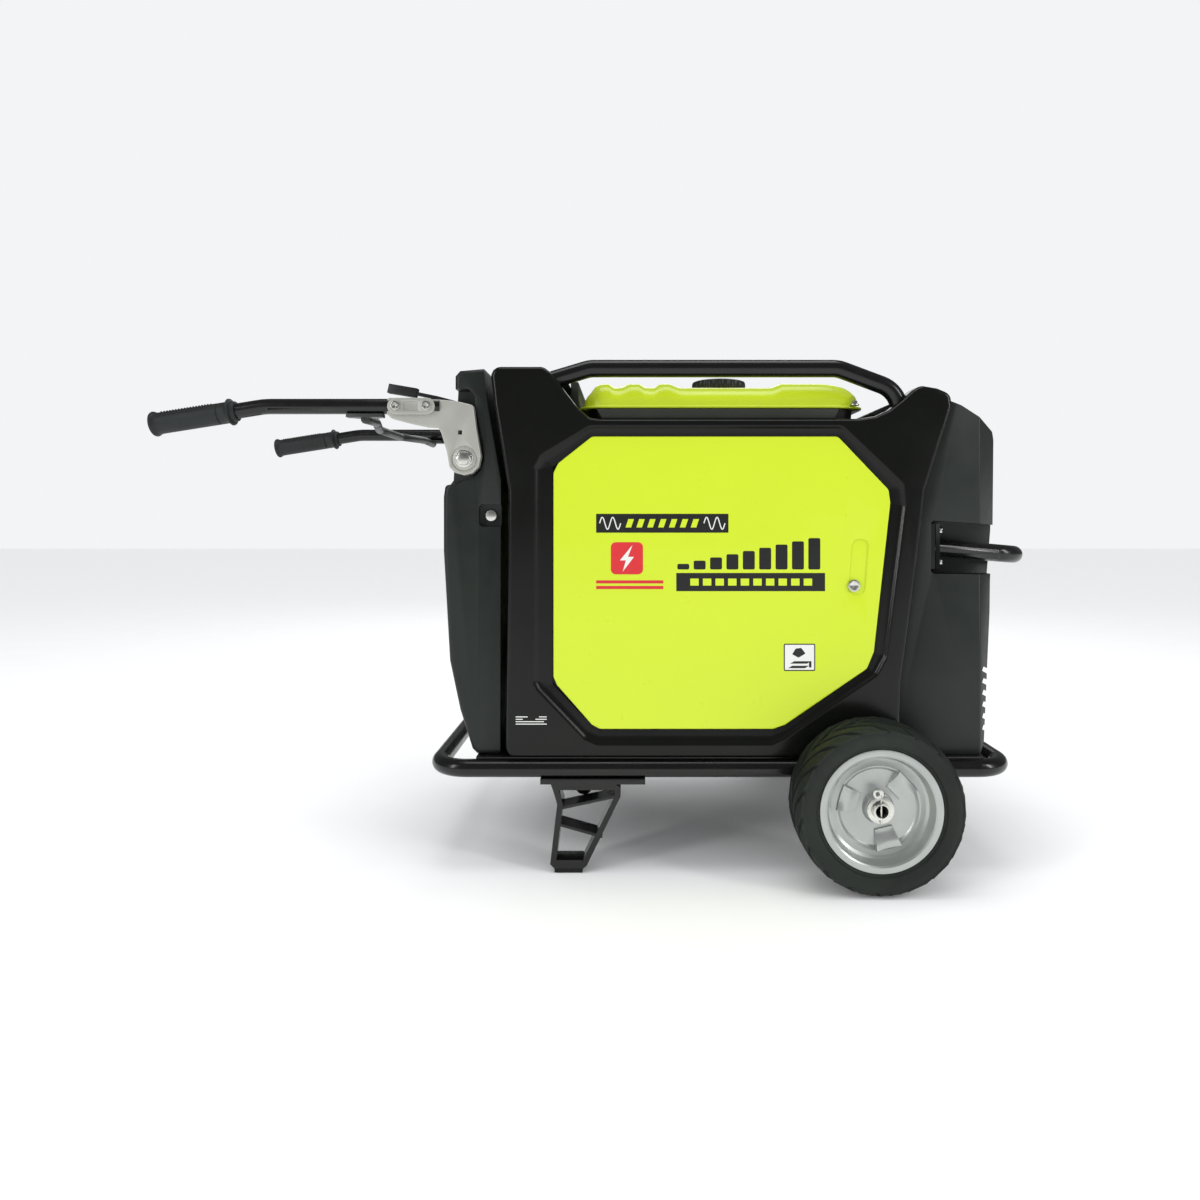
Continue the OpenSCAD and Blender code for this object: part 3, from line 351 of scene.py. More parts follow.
sideCover = {
    "faceY": -230, "backY": -200, "wall": 3, "skin": 2.2, "ledge": 11.5, "ledgeWide": 6,
    "outline": [(-128, 163), (436, 163), (436, 219), (438, 273), (447, 338), (458, 425), (467, 497),
                (472.5, 545), (485, 585), (504, 644), (510, 663), (508, 682), (489, 690), (465, 694),
                (453, 687), (438, 673), (420, 659), (400, 650), (377, 646.5), (8, 646.5), (-7, 648),
                (-23, 661), (-63, 713), (-73, 721), (-150, 721), (-144, 667), (-124, 544), (-124, 445)],
    "crease": [(3.5, 181), (252, 181), (271, 190), (403, 281), (417, 306), (444.5, 520), (441, 552),
               (353, 636), (-7, 636), (-78, 594), (-88, 575), (-89, 271.5), (-83, 260), (-15, 189)],
    "panel": [(7.5, 203), (255, 203), (272, 209), (389, 289), (399, 313), (422.5, 526), (420, 545),
              (347.5, 621), (-4, 621), (-52, 583), (-59, 569), (-59, 277.5), (-54, 266), (-4, 209)],
    "corner": 14, "creaseCorner": 16, "panelCorner": 9, "panelDeep": 6,
    # how far towards the panel, and how deep, the dish runs from its crease
    "dish": [(0.0, 0.0), (0.05, 0.25), (0.11, 1.0), (0.2, 2.6), (0.3, 4.2), (0.42, 5.1), (0.6, 5.6),
             (0.97, 6.4)],
    # the mouth's corners beside the hinge are square, so the door's corners swing free
    "mouthCorners": {(-52, 583): (-58.2, 578.2), (-59, 569): (-59, 576.5), (-59, 277.5): (-59.4, 268.2),
                     (-54, 266): (-58.3, 266.2)},
    # how far inside the outline, and how deep, the outer edge turns
    "edge": [(0.0, 30.0), (0.0, 10.0), (0.3, 6.6), (1.2, 3.6), (2.6, 1.6), (4.6, 0.4), (7.0, 0.0)],
}


def makeSideCover(name, far):
    cover = sideCover
    bm = bmesh.new()
    outline = rounded(cover["outline"], cover["corner"], 4)
    loops = [sideLoop(bm, widen(outline, -cover["wall"]), cover["backY"])]
    loops += [sideLoop(bm, widen(outline, -inset), cover["faceY"] + depth) for inset, depth in cover["edge"]]
    for one, two in zip(loops, loops[1:]):
        bridge(bm, one, two)
    crease = rounded(cover["crease"], cover["creaseCorner"])
    mouth = rounded([cover["mouthCorners"].get(spot, spot) for spot in cover["panel"]], cover["panelCorner"])
    dish = [sideLoop(bm, widen(crease, 1.6), cover["faceY"])]
    for share, depth in cover["dish"]:
        dish.append(sideLoop(bm, [a.lerp(b, share) for a, b in zip(crease, mouth)], cover["faceY"] + depth))
    lip = widen(mouth, 0.9)
    for depth in (6.6, cover["ledge"]):
        dish.append(sideLoop(bm, lip, cover["faceY"] + depth))
    dish.append(sideLoop(bm, widen(mouth, -cover["ledgeWide"]), cover["faceY"] + cover["ledge"]))
    for one, two in zip(dish, dish[1:]):
        ladder(bm, one, two)
    flatten(bm, loops[-1] + dish[0])
    outwards(bm)
    faceY = (cover["faceY"] + 0.5) * mm
    plate = [f for f in bm.faces if abs(f.normal.y) > 0.9 and f.calc_center_median().y < faceY]
    if plate and plate[0].normal.y > 0:
        bmesh.ops.reverse_faces(bm, faces=bm.faces)
    if far:
        mirrorY(bm)
    piece = newPiece(name + "_finished", bm, "gloss_cover", bodyOf[name], 50, (name,))
    wall = piece.modifiers.new("wall", "SOLIDIFY")
    wall.thickness = cover["skin"] * mm
    wall.offset = -1
    settle(piece, 50)


makeSideCover("side_cover_near", False)
makeSideCover("side_cover_far", True)
print("side covers done")


doorSlot = {"low": (362, 395), "high": (392, 474), "depth": 7, "corner": 9, "lean": 6}


def panelShell(bm, slot):
    outline = rounded(sideCover["panel"], sideCover["panelCorner"])
    face = sideCover["faceY"] + sideCover["panelDeep"]
    loops = [sideLoop(bm, outline, face + 2.0), sideLoop(bm, outline, face + 0.9),
             sideLoop(bm, widen(outline, -0.35), face + 0.3), sideLoop(bm, widen(outline, -1.0), face),
             sideLoop(bm, widen(outline, -2.2), face)]
    for one, two in zip(loops, loops[1:]):
        bridge(bm, one, two)
    flatten(bm, loops[0])
    rim = loops[-1]
    if slot:
        x0, z0 = doorSlot["low"]
        x1, z1 = doorSlot["high"]
        lean = doorSlot["lean"]
        hole = rounded([(x0, z0), (x1 - lean, z0), (x1, z1), (x0 + lean, z1)], doorSlot["corner"], 4)
        cup = [sideLoop(bm, widen(hole, grow), face + depth) for grow, depth in
               ((1.6, 0), (0.6, 0.15), (0, 0.7), (-0.8, 2.2), (-3.2, doorSlot["depth"] - 1.6),
                (-4.6, doorSlot["depth"] - 0.5), (-6.2, doorSlot["depth"]))]
        for one, two in zip(cup, cup[1:]):
            bridge(bm, one, two)
        flatten(bm, cup[-1])
        flatten(bm, rim + cup[0])
    else:
        flatten(bm, rim)


def makePanel(name, slot, far):
    bm = bmesh.new()
    panelShell(bm, slot)
    if far:
        mirrorY(bm)
    outwards(bm)
    newPiece(name + "_finished", bm, "lime_paint", bodyOf[name], 40, (name,))


makePanel("service_door", True, False)
makePanel("side_panel_far", False, True)
print("panels done")


tank = {
    "low": (-19, -182), "high": (392, 182), "corner": 30,
    "seamZ": 669.5, "topZ": 701, "hump": 6,
    "ribs": (9, 56, 104), "ribHalf": 9, "pad": (278, 340), "fade": 9,
    # how far in from each end, and from each side, the top rounds over
    "roundFront": 34, "roundRear": 62, "roundSide": 30,
    # lower shell and seam flange: how far out, and how far above the seam
    "seam": ((-12, -70), (-7, -3.6), (6.4, -3.2), (7, -2.6), (7, -0.5), (6.4, 0), (2.4, 0), (0.8, 0.6),
             (0, 2.2)),
    "insets": (0, 0.4, 1.2, 2.4, 4, 6, 9, 13, 18, 24, 31, 40, 52, 66, 84, 104, 124, 146, 166, 178),
}


def planLoop(bm, low, high, corner, z, across=46, deep=40, arc=7):
    # a closed rounded rectangle seen from above, with even points along its sides
    (x0, y0), (x1, y1) = low, high
    r = corner
    spots = []
    for cx, cy, start, length, way, count in (
            (x1 - r, y0 + r, -90, y1 - y0 - 2 * r, (0, 1), deep),
            (x1 - r, y1 - r, 0, x1 - x0 - 2 * r, (-1, 0), across),
            (x0 + r, y1 - r, 90, y1 - y0 - 2 * r, (0, -1), deep),
            (x0 + r, y0 + r, 180, x1 - x0 - 2 * r, (1, 0), across)):
        for k in range(arc + 1):
            a = radians(start + 90 * k / arc)
            spots.append((cx + r * cos(a), cy + r * sin(a)))
        ax, ay = spots[-1]
        for k in range(1, count):
            spots.append((ax + way[0] * length * k / count, ay + way[1] * length * k / count))
    verts = [bm.verts.new((x * mm, y * mm, (z(x, y) if callable(z) else z) * mm)) for x, y in spots]
    return [bm.edges.new((verts[i - 1], verts[i])) for i in range(len(verts))]


def smoothStep(t):
    t = max(0.0, min(1.0, t))
    return t * t * (3 - 2 * t)


def plateau(x, a, b, fade):
    return smoothStep((x - a + fade) / fade) * smoothStep((b + fade - x) / fade)


def tankHeight(x, y):
    # an elliptical shoulder all round, with three ribs, a raised pad and a flat between
    (x0, y0), (x1, y1) = tank["low"], tank["high"]
    front = max(0.0, 1 - (x - x0) / tank["roundFront"])
    rear = max(0.0, 1 - (x1 - x) / tank["roundRear"])
    side = max(0.0, 1 - (y1 - abs(y)) / tank["roundSide"])
    shoulder = sqrt(max(0.0, 1 - min(1, front * front + side * side))) * sqrt(max(0.0, 1 - rear ** 2.2))
    ribs = max(plateau(x, c - tank["ribHalf"], c + tank["ribHalf"], tank["fade"]) for c in tank["ribs"])
    pad = smoothStep((x - tank["pad"][0] + 16) / 16)
    lift = tank["hump"] * max(ribs, pad) * smoothStep(shoulder * 1.25)
    return tank["seamZ"] + 3 + (tank["topZ"] - tank["seamZ"] - 3) * shoulder + lift


def makeTank():
    bm = bmesh.new()
    (x0, y0), (x1, y1) = tank["low"], tank["high"]
    r, seam = tank["corner"], tank["seamZ"]

    def at(grow, z):
        return planLoop(bm, (x0 - grow, y0 - grow), (x1 + grow, y1 + grow), max(r + grow, 3), z)

    loops = [at(grow, seam + up) for grow, up in tank["seam"]]
    loops += [at(-inset, tankHeight) for inset in tank["insets"]]
    for one, two in zip(loops, loops[1:]):
        bridge(bm, one, two)
    flatten(bm, loops[0])
    flatten(bm, loops[-1])
    outwards(bm)
    # painted shade: the shell below the seam takes the black finish to stand for the dark gap under the seam
    # flange
    for f in bm.faces:
        f.material_index = 1 if f.calc_center_median().z < (seam - 3.8) * mm else 0
    piece = newPiece("fuel_tank_finished", bm, "lime_paint", "frame", 60, ("fuel_tank",))
    piece.data.materials.append(finish["black_plastic"])


makeTank()

capLow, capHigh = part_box("fuel_cap")
cap = {
    "centre": ((capLow.x + capHigh.x) / 2 / mm, (capLow.y + capHigh.y) / 2 / mm, 0),
    "low": capLow.z / mm, "high": capHigh.z / mm, "radius": (capHigh.x - capLow.x) / 2 / mm,
    "ribs": 28, "bite": 1.4, "barLong": 24, "barWide": 5,
}


def makeCap():
    bm = bmesh.new()
    r, z0, z1 = cap["radius"], cap["low"], cap["high"]
    profile = [(0.01, z0), (r - 3, z0), (r - 1, z0 + 1.5), (r, z0 + 4), (r, z0 + 13), (r - 1.2, z0 + 15.6),
               (r - 4.5, z0 + 17), (r - 9, z0 + 17.4), (r - 12, z0 + 16.2), (r - 15, z0 + 16.4),
               (r - 20, z1 - 1.2), (r - 30, z1 - 0.4), (0.01, z1)]
    addSpin(bm, profile, cap["centre"], "Z", cap["ribs"] * 6)
    cx, cy = cap["centre"][0] * mm, cap["centre"][1] * mm
    for v in bm.verts:
        away = Vector((v.co.x - cx, v.co.y - cy, 0))
        if away.length > (r - 2) * mm and v.co.z < (z0 + 14) * mm:
            step = atan2(away.y, away.x) / (2 * pi) * cap["ribs"] % 1
            if 0.3 < step < 0.7:
                v.co -= away.normalized() * cap["bite"] * mm
    x, y, _ = cap["centre"]
    long, wide = cap["barLong"], cap["barWide"]
    addBox(bm, (x - long, y - wide, z1 - 3), (x + long, y + wide, z1), 1.8)
    outwards(bm)
    newPiece("fuel_cap_finished", bm, "black_plastic", "cap", 35, ("fuel_cap",))


makeCap()
print("tank and cap done")


tyreLow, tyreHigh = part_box("tyre_near")
wheel = {
    "x": (tyreLow.x + tyreHigh.x) / 2 / mm, "z": (tyreLow.z + tyreHigh.z) / 2 / mm,
    "radius": (tyreHigh.z - tyreLow.z) / 2 / mm, "outY": tyreLow.y / mm, "inY": tyreHigh.y / mm,
    "rim": 81, "lugs": 18, "lugDepth": 6.5, "slant": 0.0075,
    "lipY": -310, "webY": -290, "hubY": -301, "backY": -250, "scoopsAt": (46, 166, 286),
}
halfTyre = (wheel["inY"] - wheel["outY"]) / 2
midTyreY = (wheel["inY"] + wheel["outY"]) / 2


def tyreRadius(share):
    # radius of the tread from its middle, 0, to the shoulder, 1
    return wheel["radius"] - 1.4 * share ** 2 - 3.4 * max(0, share - 0.8) / 0.2


def makeTyre(name, far):
    bm = bmesh.new()
    r, rim, half = wheel["radius"], wheel["rim"], halfTyre
    carcass = r - wheel["lugDepth"]
    side = [(rim + 0.4, half - 9), (rim + 3, half - 6.6), (rim + 5.5, half - 6.2), (rim + 7, half - 3.4),
            (rim + 10, half - 2.4), (rim + 16, half - 0.6), (rim + 21, half), (carcass - 2, half - 1.4),
            (carcass, half - 5), (carcass + 0.8, half - 14)]
    profile = [(rad, midTyreY - y) for rad, y in side]
    profile += [(rad, midTyreY + y) for rad, y in reversed(side)]
    addSpin(bm, profile, (wheel["x"], 0, wheel["z"]), "Y", 108)
    for hand in (-1, 1):
        for k in range(wheel["lugs"]):
            turn = 2 * pi * (k + (0.5 if hand > 0 else 0)) / wheel["lugs"]

            def place(p):
                share = (p.y + 1) / 2
                outer = p.z > 0
                wide = (0.112 if outer else 0.124) * (1 + 0.15 * share)
                if share > 0.99:
                    rad, y = (carcass + 1.2, half - 0.4) if outer else (carcass - 9, half - 3)
                else:
                    rad = tyreRadius(share / 0.84) if outer else carcass - 2
                    y = 1.2 + share / 0.84 * (half - 4.2)
                a = turn + p.x * wide + wheel["slant"] * y * 2.2
                return (wheel["x"] + rad * sin(a), midTyreY + hand * y, wheel["z"] + rad * cos(a))

            addForm(bm, place, lambda d: abs(d.y) > 1, 5)
    bmesh.ops.recalc_face_normals(bm, faces=bm.faces)
    if far:
        mirrorY(bm)
    return newPiece(name + "_finished", bm, "tyre_rubber", bodyOf[name], 40, (name,))


def makeRim(name, far):
    bm = bmesh.new()
    r = wheel["rim"]
    lipY, webY, hubY, backY = wheel["lipY"], wheel["webY"], wheel["hubY"], wheel["backY"]
    profile = [(r, backY), (r + 0.6, backY + 0.5), (r, -303), (r + 0.4, -307), (r + 1.6, lipY + 1.0),
               (r + 1.2, lipY), (r - 1, lipY - 0.4), (r - 6.5, lipY - 0.2), (r - 8.6, lipY + 1.2),
               (r - 9.6, lipY + 4.5), (r - 10.4, lipY + 10), (r - 13, webY - 5.5), (r - 17, webY - 3.2),
               (60.5, webY - 3.6), (57, webY - 4.4), (55, webY - 3.6), (53.4, webY - 1.2), (51.5, webY + 0.4),
               (24, webY + 1.0), (21.5, webY), (20, webY - 2.5), (19.2, hubY + 1.8), (17.8, hubY),
               (11.2, hubY), (11.2, backY + 2), (19, backY + 2), (19, webY + 4.5), (56, webY + 4.5),
               (60, webY + 2), (r - 13, webY), (r - 13, backY)]
    addSpin(bm, profile, (wheel["x"], 0, wheel["z"]), "Y", 120)
    for turn in wheel["scoopsAt"]:
        a = radians(turn)

        def place(p):
            # a dished scoop, low at the hub and lifted at its outer corners
            side, out, top = p.x, (p.y + 1) / 2, p.z > 0
            rad = 27 + 29 * out - (1.5 if top else 0) * (2 * out - 1)
            x = side * (13 + 6 * out) * (0.9 if top else 1)
            lift = 1.5 + 7.5 * smoothStep(out * 1.2) - 3.4 * (1 - side * side) * out
            return (wheel["x"] + x * cos(a) + rad * sin(a), webY - lift if top else webY + 2,
                    wheel["z"] - x * sin(a) + rad * cos(a))

        addForm(bm, place, lambda d: True, 7, 0.9)
    bmesh.ops.recalc_face_normals(bm, faces=bm.faces)
    if far:
        mirrorY(bm)
    return newPiece(name + "_finished", bm, "rim_grey", bodyOf[name], 30, (name,))


makeTyre("tyre_near", False)
makeTyre("tyre_far", True)
makeRim("rim_near", False)
makeRim("rim_far", True)
print("wheels done")


grip = {
    "drop": 9, "length": 122, "radius": 15.5, "bell": 18.2, "disc": 19.5,
    "fan": 54, "rows": 7, "bumps": 17, "bumpFrom": 16, "bumpTo": 88, "bumpRadius": 1.5,
}


def makeGrip(name):
    low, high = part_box(name)
    bm = bmesh.new()
    r, bell, disc, length = grip["radius"], grip["bell"], grip["disc"], grip["length"]
    profile = [(0.01, 0), (bell - 3, 0), (bell - 0.8, 0.8), (bell, 2.6), (bell - 0.6, 4.6), (bell - 2, 6.4),
               (r + 0.2, 9.5), (r, 14), (r, 96.5), (r - 1, 97.2), (r - 1, 98.2), (r, 99), (r, length - 13.5),
               (r + 1.5, length - 11.5), (disc - 1, length - 10.2), (disc, length - 9),
               (disc - 0.4, length - 7.4), (disc - 1.6, length - 6.8), (r - 0.5, length - 6.0),
               (r - 1, length - 1), (r - 2, length),
               (11.2, length), (11.2, 5), (0.01, 5)]
    addSpin(bm, profile, (0, 0, 0), "Z", 48)
    span = grip["bumpTo"] - grip["bumpFrom"]
    for row in range(grip["rows"]):
        a = radians(grip["fan"] * (2 * row / (grip["rows"] - 1) - 1))
        for k in range(grip["bumps"]):
            along = grip["bumpFrom"] + span * (k + 0.5 * (row % 2)) / grip["bumps"]
            spot = Vector((-r * cos(a), r * sin(a), along)) * mm
            bmesh.ops.create_icosphere(bm, subdivisions=1, radius=grip["bumpRadius"] * mm,
                                       matrix=Matrix.Translation(spot))
    tilt = Matrix.Rotation(radians(90 - grip["drop"]), 4, "Y")
    lean = bell * sin(radians(grip["drop"])) * mm
    rise = bell * cos(radians(grip["drop"])) * mm
    tip = Vector((low.x + lean, (low.y + high.y) / 2, low.z + rise))
    bmesh.ops.transform(bm, matrix=Matrix.Translation(tip) @ tilt, verts=bm.verts)
    bmesh.ops.recalc_face_normals(bm, faces=bm.faces)
    return newPiece(name + "_finished", bm, "grip_rubber", bodyOf[name], 50, (name,))


makeGrip("grip_near")
makeGrip("grip_far")
print("grips done")


def cutAway(piece, cutters, edge):
    # cuts helper blocks out of a piece, then rounds the edges they leave
    for bm in cutters:
        mesh = bpy.data.meshes.new("cutter")
        bm.to_mesh(mesh)
        bm.free()
        tool = bpy.data.objects.new("cutter", mesh)
        scene.collection.objects.link(tool)
        step = piece.modifiers.new("cut", "BOOLEAN")
        step.operation = "DIFFERENCE"
        step.solver = "EXACT"
        step.object = tool
    step = piece.modifiers.new("round", "BEVEL")
    step.width = edge * mm
    step.segments = 2
    step.limit_method = "ANGLE"
    step.angle_limit = radians(40)
    tools = [m.object for m in piece.modifiers if m.type == "BOOLEAN"]
    settle(piece)
    for tool in tools:
        bpy.data.objects.remove(tool)


def prism(outline, y0, y1, corner=0.0, soften=0.0):
    bm = bmesh.new()
    spots = rounded(outline, corner, 4) if corner else [Vector(p) for p in outline]
    one, two = sideLoop(bm, spots, y0), sideLoop(bm, spots, y1)
    bridge(bm, one, two)
    flatten(bm, one)
    flatten(bm, two)
    bmesh.ops.dissolve_limit(bm, angle_limit=radians(1), verts=bm.verts, edges=bm.edges)
    outwards(bm)
    if soften:
        edges = [e for e in bm.edges if e.calc_face_angle(0) > radians(60)]
        bmesh.ops.bevel(bm, geom=edges, offset=soften * mm, segments=4, profile=0.5, affect="EDGES",
                        clamp_overlap=True, material=-1)
    return bm


def boxCutter(low, high):
    bm = bmesh.new()
    addBox(bm, low, high)
    return bm


endCover = {
    "halfY": 210,
    "front": [(-137, 163), (-136, 558), (-155, 668), (-161, 721), (-196, 718), (-203, 710), (-203, 692),
              (-208, 600), (-210, 560), (-218, 549), (-220, 535), (-220, 457), (-215, 374), (-211, 298),
              (-196, 227), (-178, 170), (-171, 163)],
    "recess": [(-240, 691), (-183, 691), (-174, 682), (-173, 667), (-162, 612), (-160, 589), (-165, 574),
               (-174, 564), (-200, 554), (-240, 549)],
    "recessY": -184,
    "rear": [(440, 163), (558, 163), (566, 180), (573, 278), (579, 368), (580, 414), (586, 487), (588, 620),
             (585, 632), (531, 667), (513, 674), (513.5, 663), (507, 642), (488, 584), (475.5, 544),
             (470.5, 497), (461.5, 425), (450.5, 338), (441.5, 273), (440, 219)],
    # the bolt's pocket in each side of the front cover, and the notch round each leg of the rear bar
    "pocket": [(-168, 492), (-134, 492), (-134, 524), (-168, 524)], "pocketDeep": 9,
    "notch": [(485.5, 424), (620, 422), (620, 492), (485.5, 501)], "notchY": -175,
    "chamferX": 556, "chamferY": 210.1, "chamferWay": (0.66, 0.75),
    "louvres": 6, "louvreZ": 188, "louvreStep": 17, "louvreHigh": 7, "louvreX": (559, 606), "louvreTurn": 28,
}


def makeFrontCover():
    half = endCover["halfY"]
    bm = prism(endCover["front"], -half, half)
    corner = [e for e in bm.edges if e.calc_face_angle(0) > radians(60)
              and min(v.co.x for v in e.verts) < -0.165 and abs(e.verts[0].co.y - e.verts[1].co.y) < 1e-6]
    bmesh.ops.bevel(bm, geom=corner, offset=7 * mm, segments=5, profile=0.5, affect="EDGES",
                    clamp_overlap=True, material=-1)
    piece = newPiece("front_cover_finished", bm, "satin_cover", "frame", 35, ("front_cover",))
    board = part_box("control_panel")
    cutters = []
    for side in (-1, 1):
        y = sorted((side * (half + 5), side * -endCover["recessY"]))
        cutters.append(prism(endCover["recess"], y[0], y[1], 6))
        y = sorted((side * (half + 5), side * (half - endCover["pocketDeep"])))
        cutters.append(prism(endCover["pocket"], y[0], y[1], 6))
    cutters.append(boxCutter((-250, board[0].y / mm - 2, board[0].z / mm - 2),
                             (board[0].x / mm, board[1].y / mm + 2, board[1].z / mm + 2)))
    cutters.append(boxCutter((board[0].x / mm - 0.01, board[0].y / mm + 4, board[0].z / mm + 4),
                             (-150, board[1].y / mm - 4, board[1].z / mm - 4)))
    cutAway(piece, cutters, 1.6)


def makeRearCover():
    half = endCover["halfY"]
    bm = prism(endCover["rear"], -half, half)
    acrossX, acrossY = endCover["chamferWay"]
    for side in (-1, 1):
        # a broad chamfer down each rear corner
        corner = (endCover["chamferX"] * mm, side * endCover["chamferY"] * mm, 0.4)
        cut = bmesh.ops.bisect_plane(bm, geom=bm.verts[:] + bm.edges[:] + bm.faces[:], dist=1e-6,
                                     plane_co=corner, plane_no=(acrossX, side * acrossY, 0), clear_outer=True)
        rim = [g for g in cut["geom_cut"] if isinstance(g, bmesh.types.BMEdge)]
        bmesh.ops.holes_fill(bm, edges=rim)
    bmesh.ops.dissolve_limit(bm, angle_limit=radians(1), verts=bm.verts, edges=bm.edges)
    outwards(bm)
    edges = [e for e in bm.edges
             if e.calc_face_angle(0) > radians(25) and min(v.co.x for v in e.verts) > 0.515]
    bmesh.ops.bevel(bm, geom=edges, offset=4 * mm, segments=4, profile=0.5, affect="EDGES",
                    clamp_overlap=True, material=-1)
    piece = newPiece("rear_cover_finished", bm, "satin_cover", "frame", 35, ("rear_cover",))
    cutters = []
    for side in (-1, 1):
        y = sorted((side * (half + 5), side * -endCover["notchY"]))
        cutters.append(prism(endCover["notch"], y[0], y[1], 5))
    x0, x1 = endCover["louvreX"]
    turn = Matrix.Rotation(radians(endCover["louvreTurn"]), 3, "Y")
    for k in range(endCover["louvres"]):
        z = endCover["louvreZ"] + endCover["louvreStep"] * k
        bm = boxCutter((x0, -half - 5, z), (x1, half + 5, z + endCover["louvreHigh"]))
        bmesh.ops.rotate(bm, cent=(0.58, 0, z * mm), matrix=turn, verts=bm.verts)
        cutters.append(bm)
    cutters.append(boxCutter((400, -half + 3, 180), (500, half - 3, 540)))
    cutAway(piece, cutters, 1.2)


makeFrontCover()
makeRearCover()
print("end covers done")


bracket = {
    "outline": [(-298, 677), (-220, 674), (-198, 672), (-174, 666), (-170, 634), (-163, 593), (-166, 578),
                (-175, 568.5), (-187, 565.5), (-200, 569), (-208, 577), (-212, 600), (-220, 626), (-224, 634),
                (-240, 635), (-264, 640), (-291, 647), (-298, 653)],
    "outY": -222, "inY": -208, "padX": (-284, -240), "padZ": 664, "padRadius": 12,
    "slot": (-273, 657.5, -251, 670.5), "slotDepth": 1.7, "pivot": (-187, 589.5), "ring": (15.6, 19.0, 1.3),
    "squareHole": [(-196, 624), (-190, 624), (-190, 630), (-196, 630)],
}


def capsule(x0, x1, z, radius, steps=12):
    ends = []
    for centre, start in ((x1, -90), (x0, 90)):
        for k in range(steps + 1):
            a = radians(start + 180 * k / steps)
            ends.append((centre + radius * cos(a), z + radius * sin(a)))
    return ends


def makeBracket(name, far):
    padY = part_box("bracket_near")[0].y / mm
    bm = prism(bracket["outline"], bracket["outY"], bracket["inY"], 5, 1.6)
    x0, x1 = bracket["padX"]
    pad = prism(capsule(x0, x1, bracket["padZ"], bracket["padRadius"]), padY, bracket["outY"] + 1, 0, 1.3)
    mesh = bpy.data.meshes.new("pad")
    pad.to_mesh(mesh)
    pad.free()
    bm.from_mesh(mesh)
    bpy.data.meshes.remove(mesh)
    px, pz = bracket["pivot"]
    inner, outer, depth = bracket["ring"]
    groove = bmesh.new()
    outY, floorY = bracket["outY"], bracket["outY"] + depth
    addSpin(groove, [(inner, outY - 3), (inner + 1.2, floorY), (outer - 1.2, floorY), (outer, outY - 3)],
            (px, 0, pz), "Y", 64)
    outwards(groove)
    sx0, sz0, sx1, sz1 = bracket["slot"]
    slot = prism([(sx0, sz0), (sx1, sz0), (sx1, sz1), (sx0, sz1)], padY - 2, padY + bracket["slotDepth"], 2)
    square = prism(bracket["squareHole"], outY - 4, bracket["inY"] + 3)
    piece = newPiece(name + "_finished", bm, "cast_aluminium", bodyOf[name], 34, (name,))
    cutAway(piece, [groove, slot, square], 0.5)
    if far:
        flip = bmesh.new()
        flip.from_mesh(piece.data)
        mirrorY(flip)
        flip.to_mesh(piece.data)
        flip.free()


makeBracket("bracket_near", False)
makeBracket("bracket_far", True)

# nodes that keep the frame's shape, and how much their edges are rounded
roundedNodes = {
    "base_loop": 0, "top_rail_near": 0, "top_rail_far": 0, "handle_bar_near": 0, "handle_bar_far": 0,
    "rear_bar": 0.6, "cross_members": 0.8, "foot_near": 0.8, "foot_far": 0.8, "foot_pads": 1.2,
    "axle": 0.3, "axle_brackets": 1.0, "wheel_retainers": 0.4, "pivot_bolts": 0.8, "top_covers": 1.0,
    "top_trim": 1.6, "fasteners": 0.5, "control_panel": 0.4, "outlets": 0.3, "bracket_screws": 0.4,
    "cross_brace": 0.7, "latch_lever": 1.2, "door_lock": 0.6,
    "engine_switch": 1.0, "eco_switch": 0.8, "breaker": 0.5, "outlet_cover": 1.2,
    "bottom_tray": 0.4, "inverter_module": 0.8, "battery": 1.5, "engine_block": 1.5, "cylinder_head": 1.5,
    "stator": 0.5, "fan_shroud": 1.0, "recoil_housing": 1.0, "muffler": 2.0, "air_filter_box": 2.5,
    "carburettor": 0.8, "engine_mounts": 2.0, "door_hinge": 0.2, "rotor": 0.5, "recoil_reel": 0.6,
}
for node, width in roundedNodes.items():
    softened(node, width)
print("fittings done:", len(roundedNodes))


ropeLow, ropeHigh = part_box("starter_rope")
starter = {
    "x": (ropeLow.x + ropeHigh.x) / 2 / mm, "z": (ropeLow.z + ropeHigh.z) / 2 / mm,
    "low": 227.3, "high": 246.8, "reach": 41.5, "endR": 7.6, "midR": 9.6, "collarR": 7.5,
    "rings": 25, "groove": 0.35, "ropeR": 1.9, "ropeIn": 180,
}


def makeStarterGrip():
    # a bar that swells at its middle, with fine grooves, and a collar where the rope enters
    bm = bmesh.new()
    x, z, reach = starter["x"], starter["z"], starter["reach"]
    midY = starter["high"] - starter["midR"] - 0.2
    shape = [(0.01, -reach)]
    for k in range(starter["rings"]):
        t = 2 * k / (starter["rings"] - 1) - 1
        swell = 1 - smoothStep(abs(t) * 1.15)
        ends = sqrt(max(0.0, 1 - max(0.0, (abs(t) - 0.88) / 0.12) ** 2))
        radius = (starter["endR"] + (starter["midR"] - starter["endR"]) * swell) * max(ends, 0.05)
        if k % 2 and abs(t) < 0.8:
            radius -= starter["groove"]
        shape.append((radius, t * (reach - 0.1)))
    shape.append((0.01, reach))
    addSpin(bm, shape, (x, midY, z), "X", 40)
    outwards(bm)
    collar = starter["collarR"]
    addRod(bm, (x, starter["low"], z), (x, midY, z), collar, collar - 1, 32, 0.8)
    newPiece("starter_grip_finished", bm, "grip_rubber", bodyOf["starter_grip"], 40, ("starter_grip",))


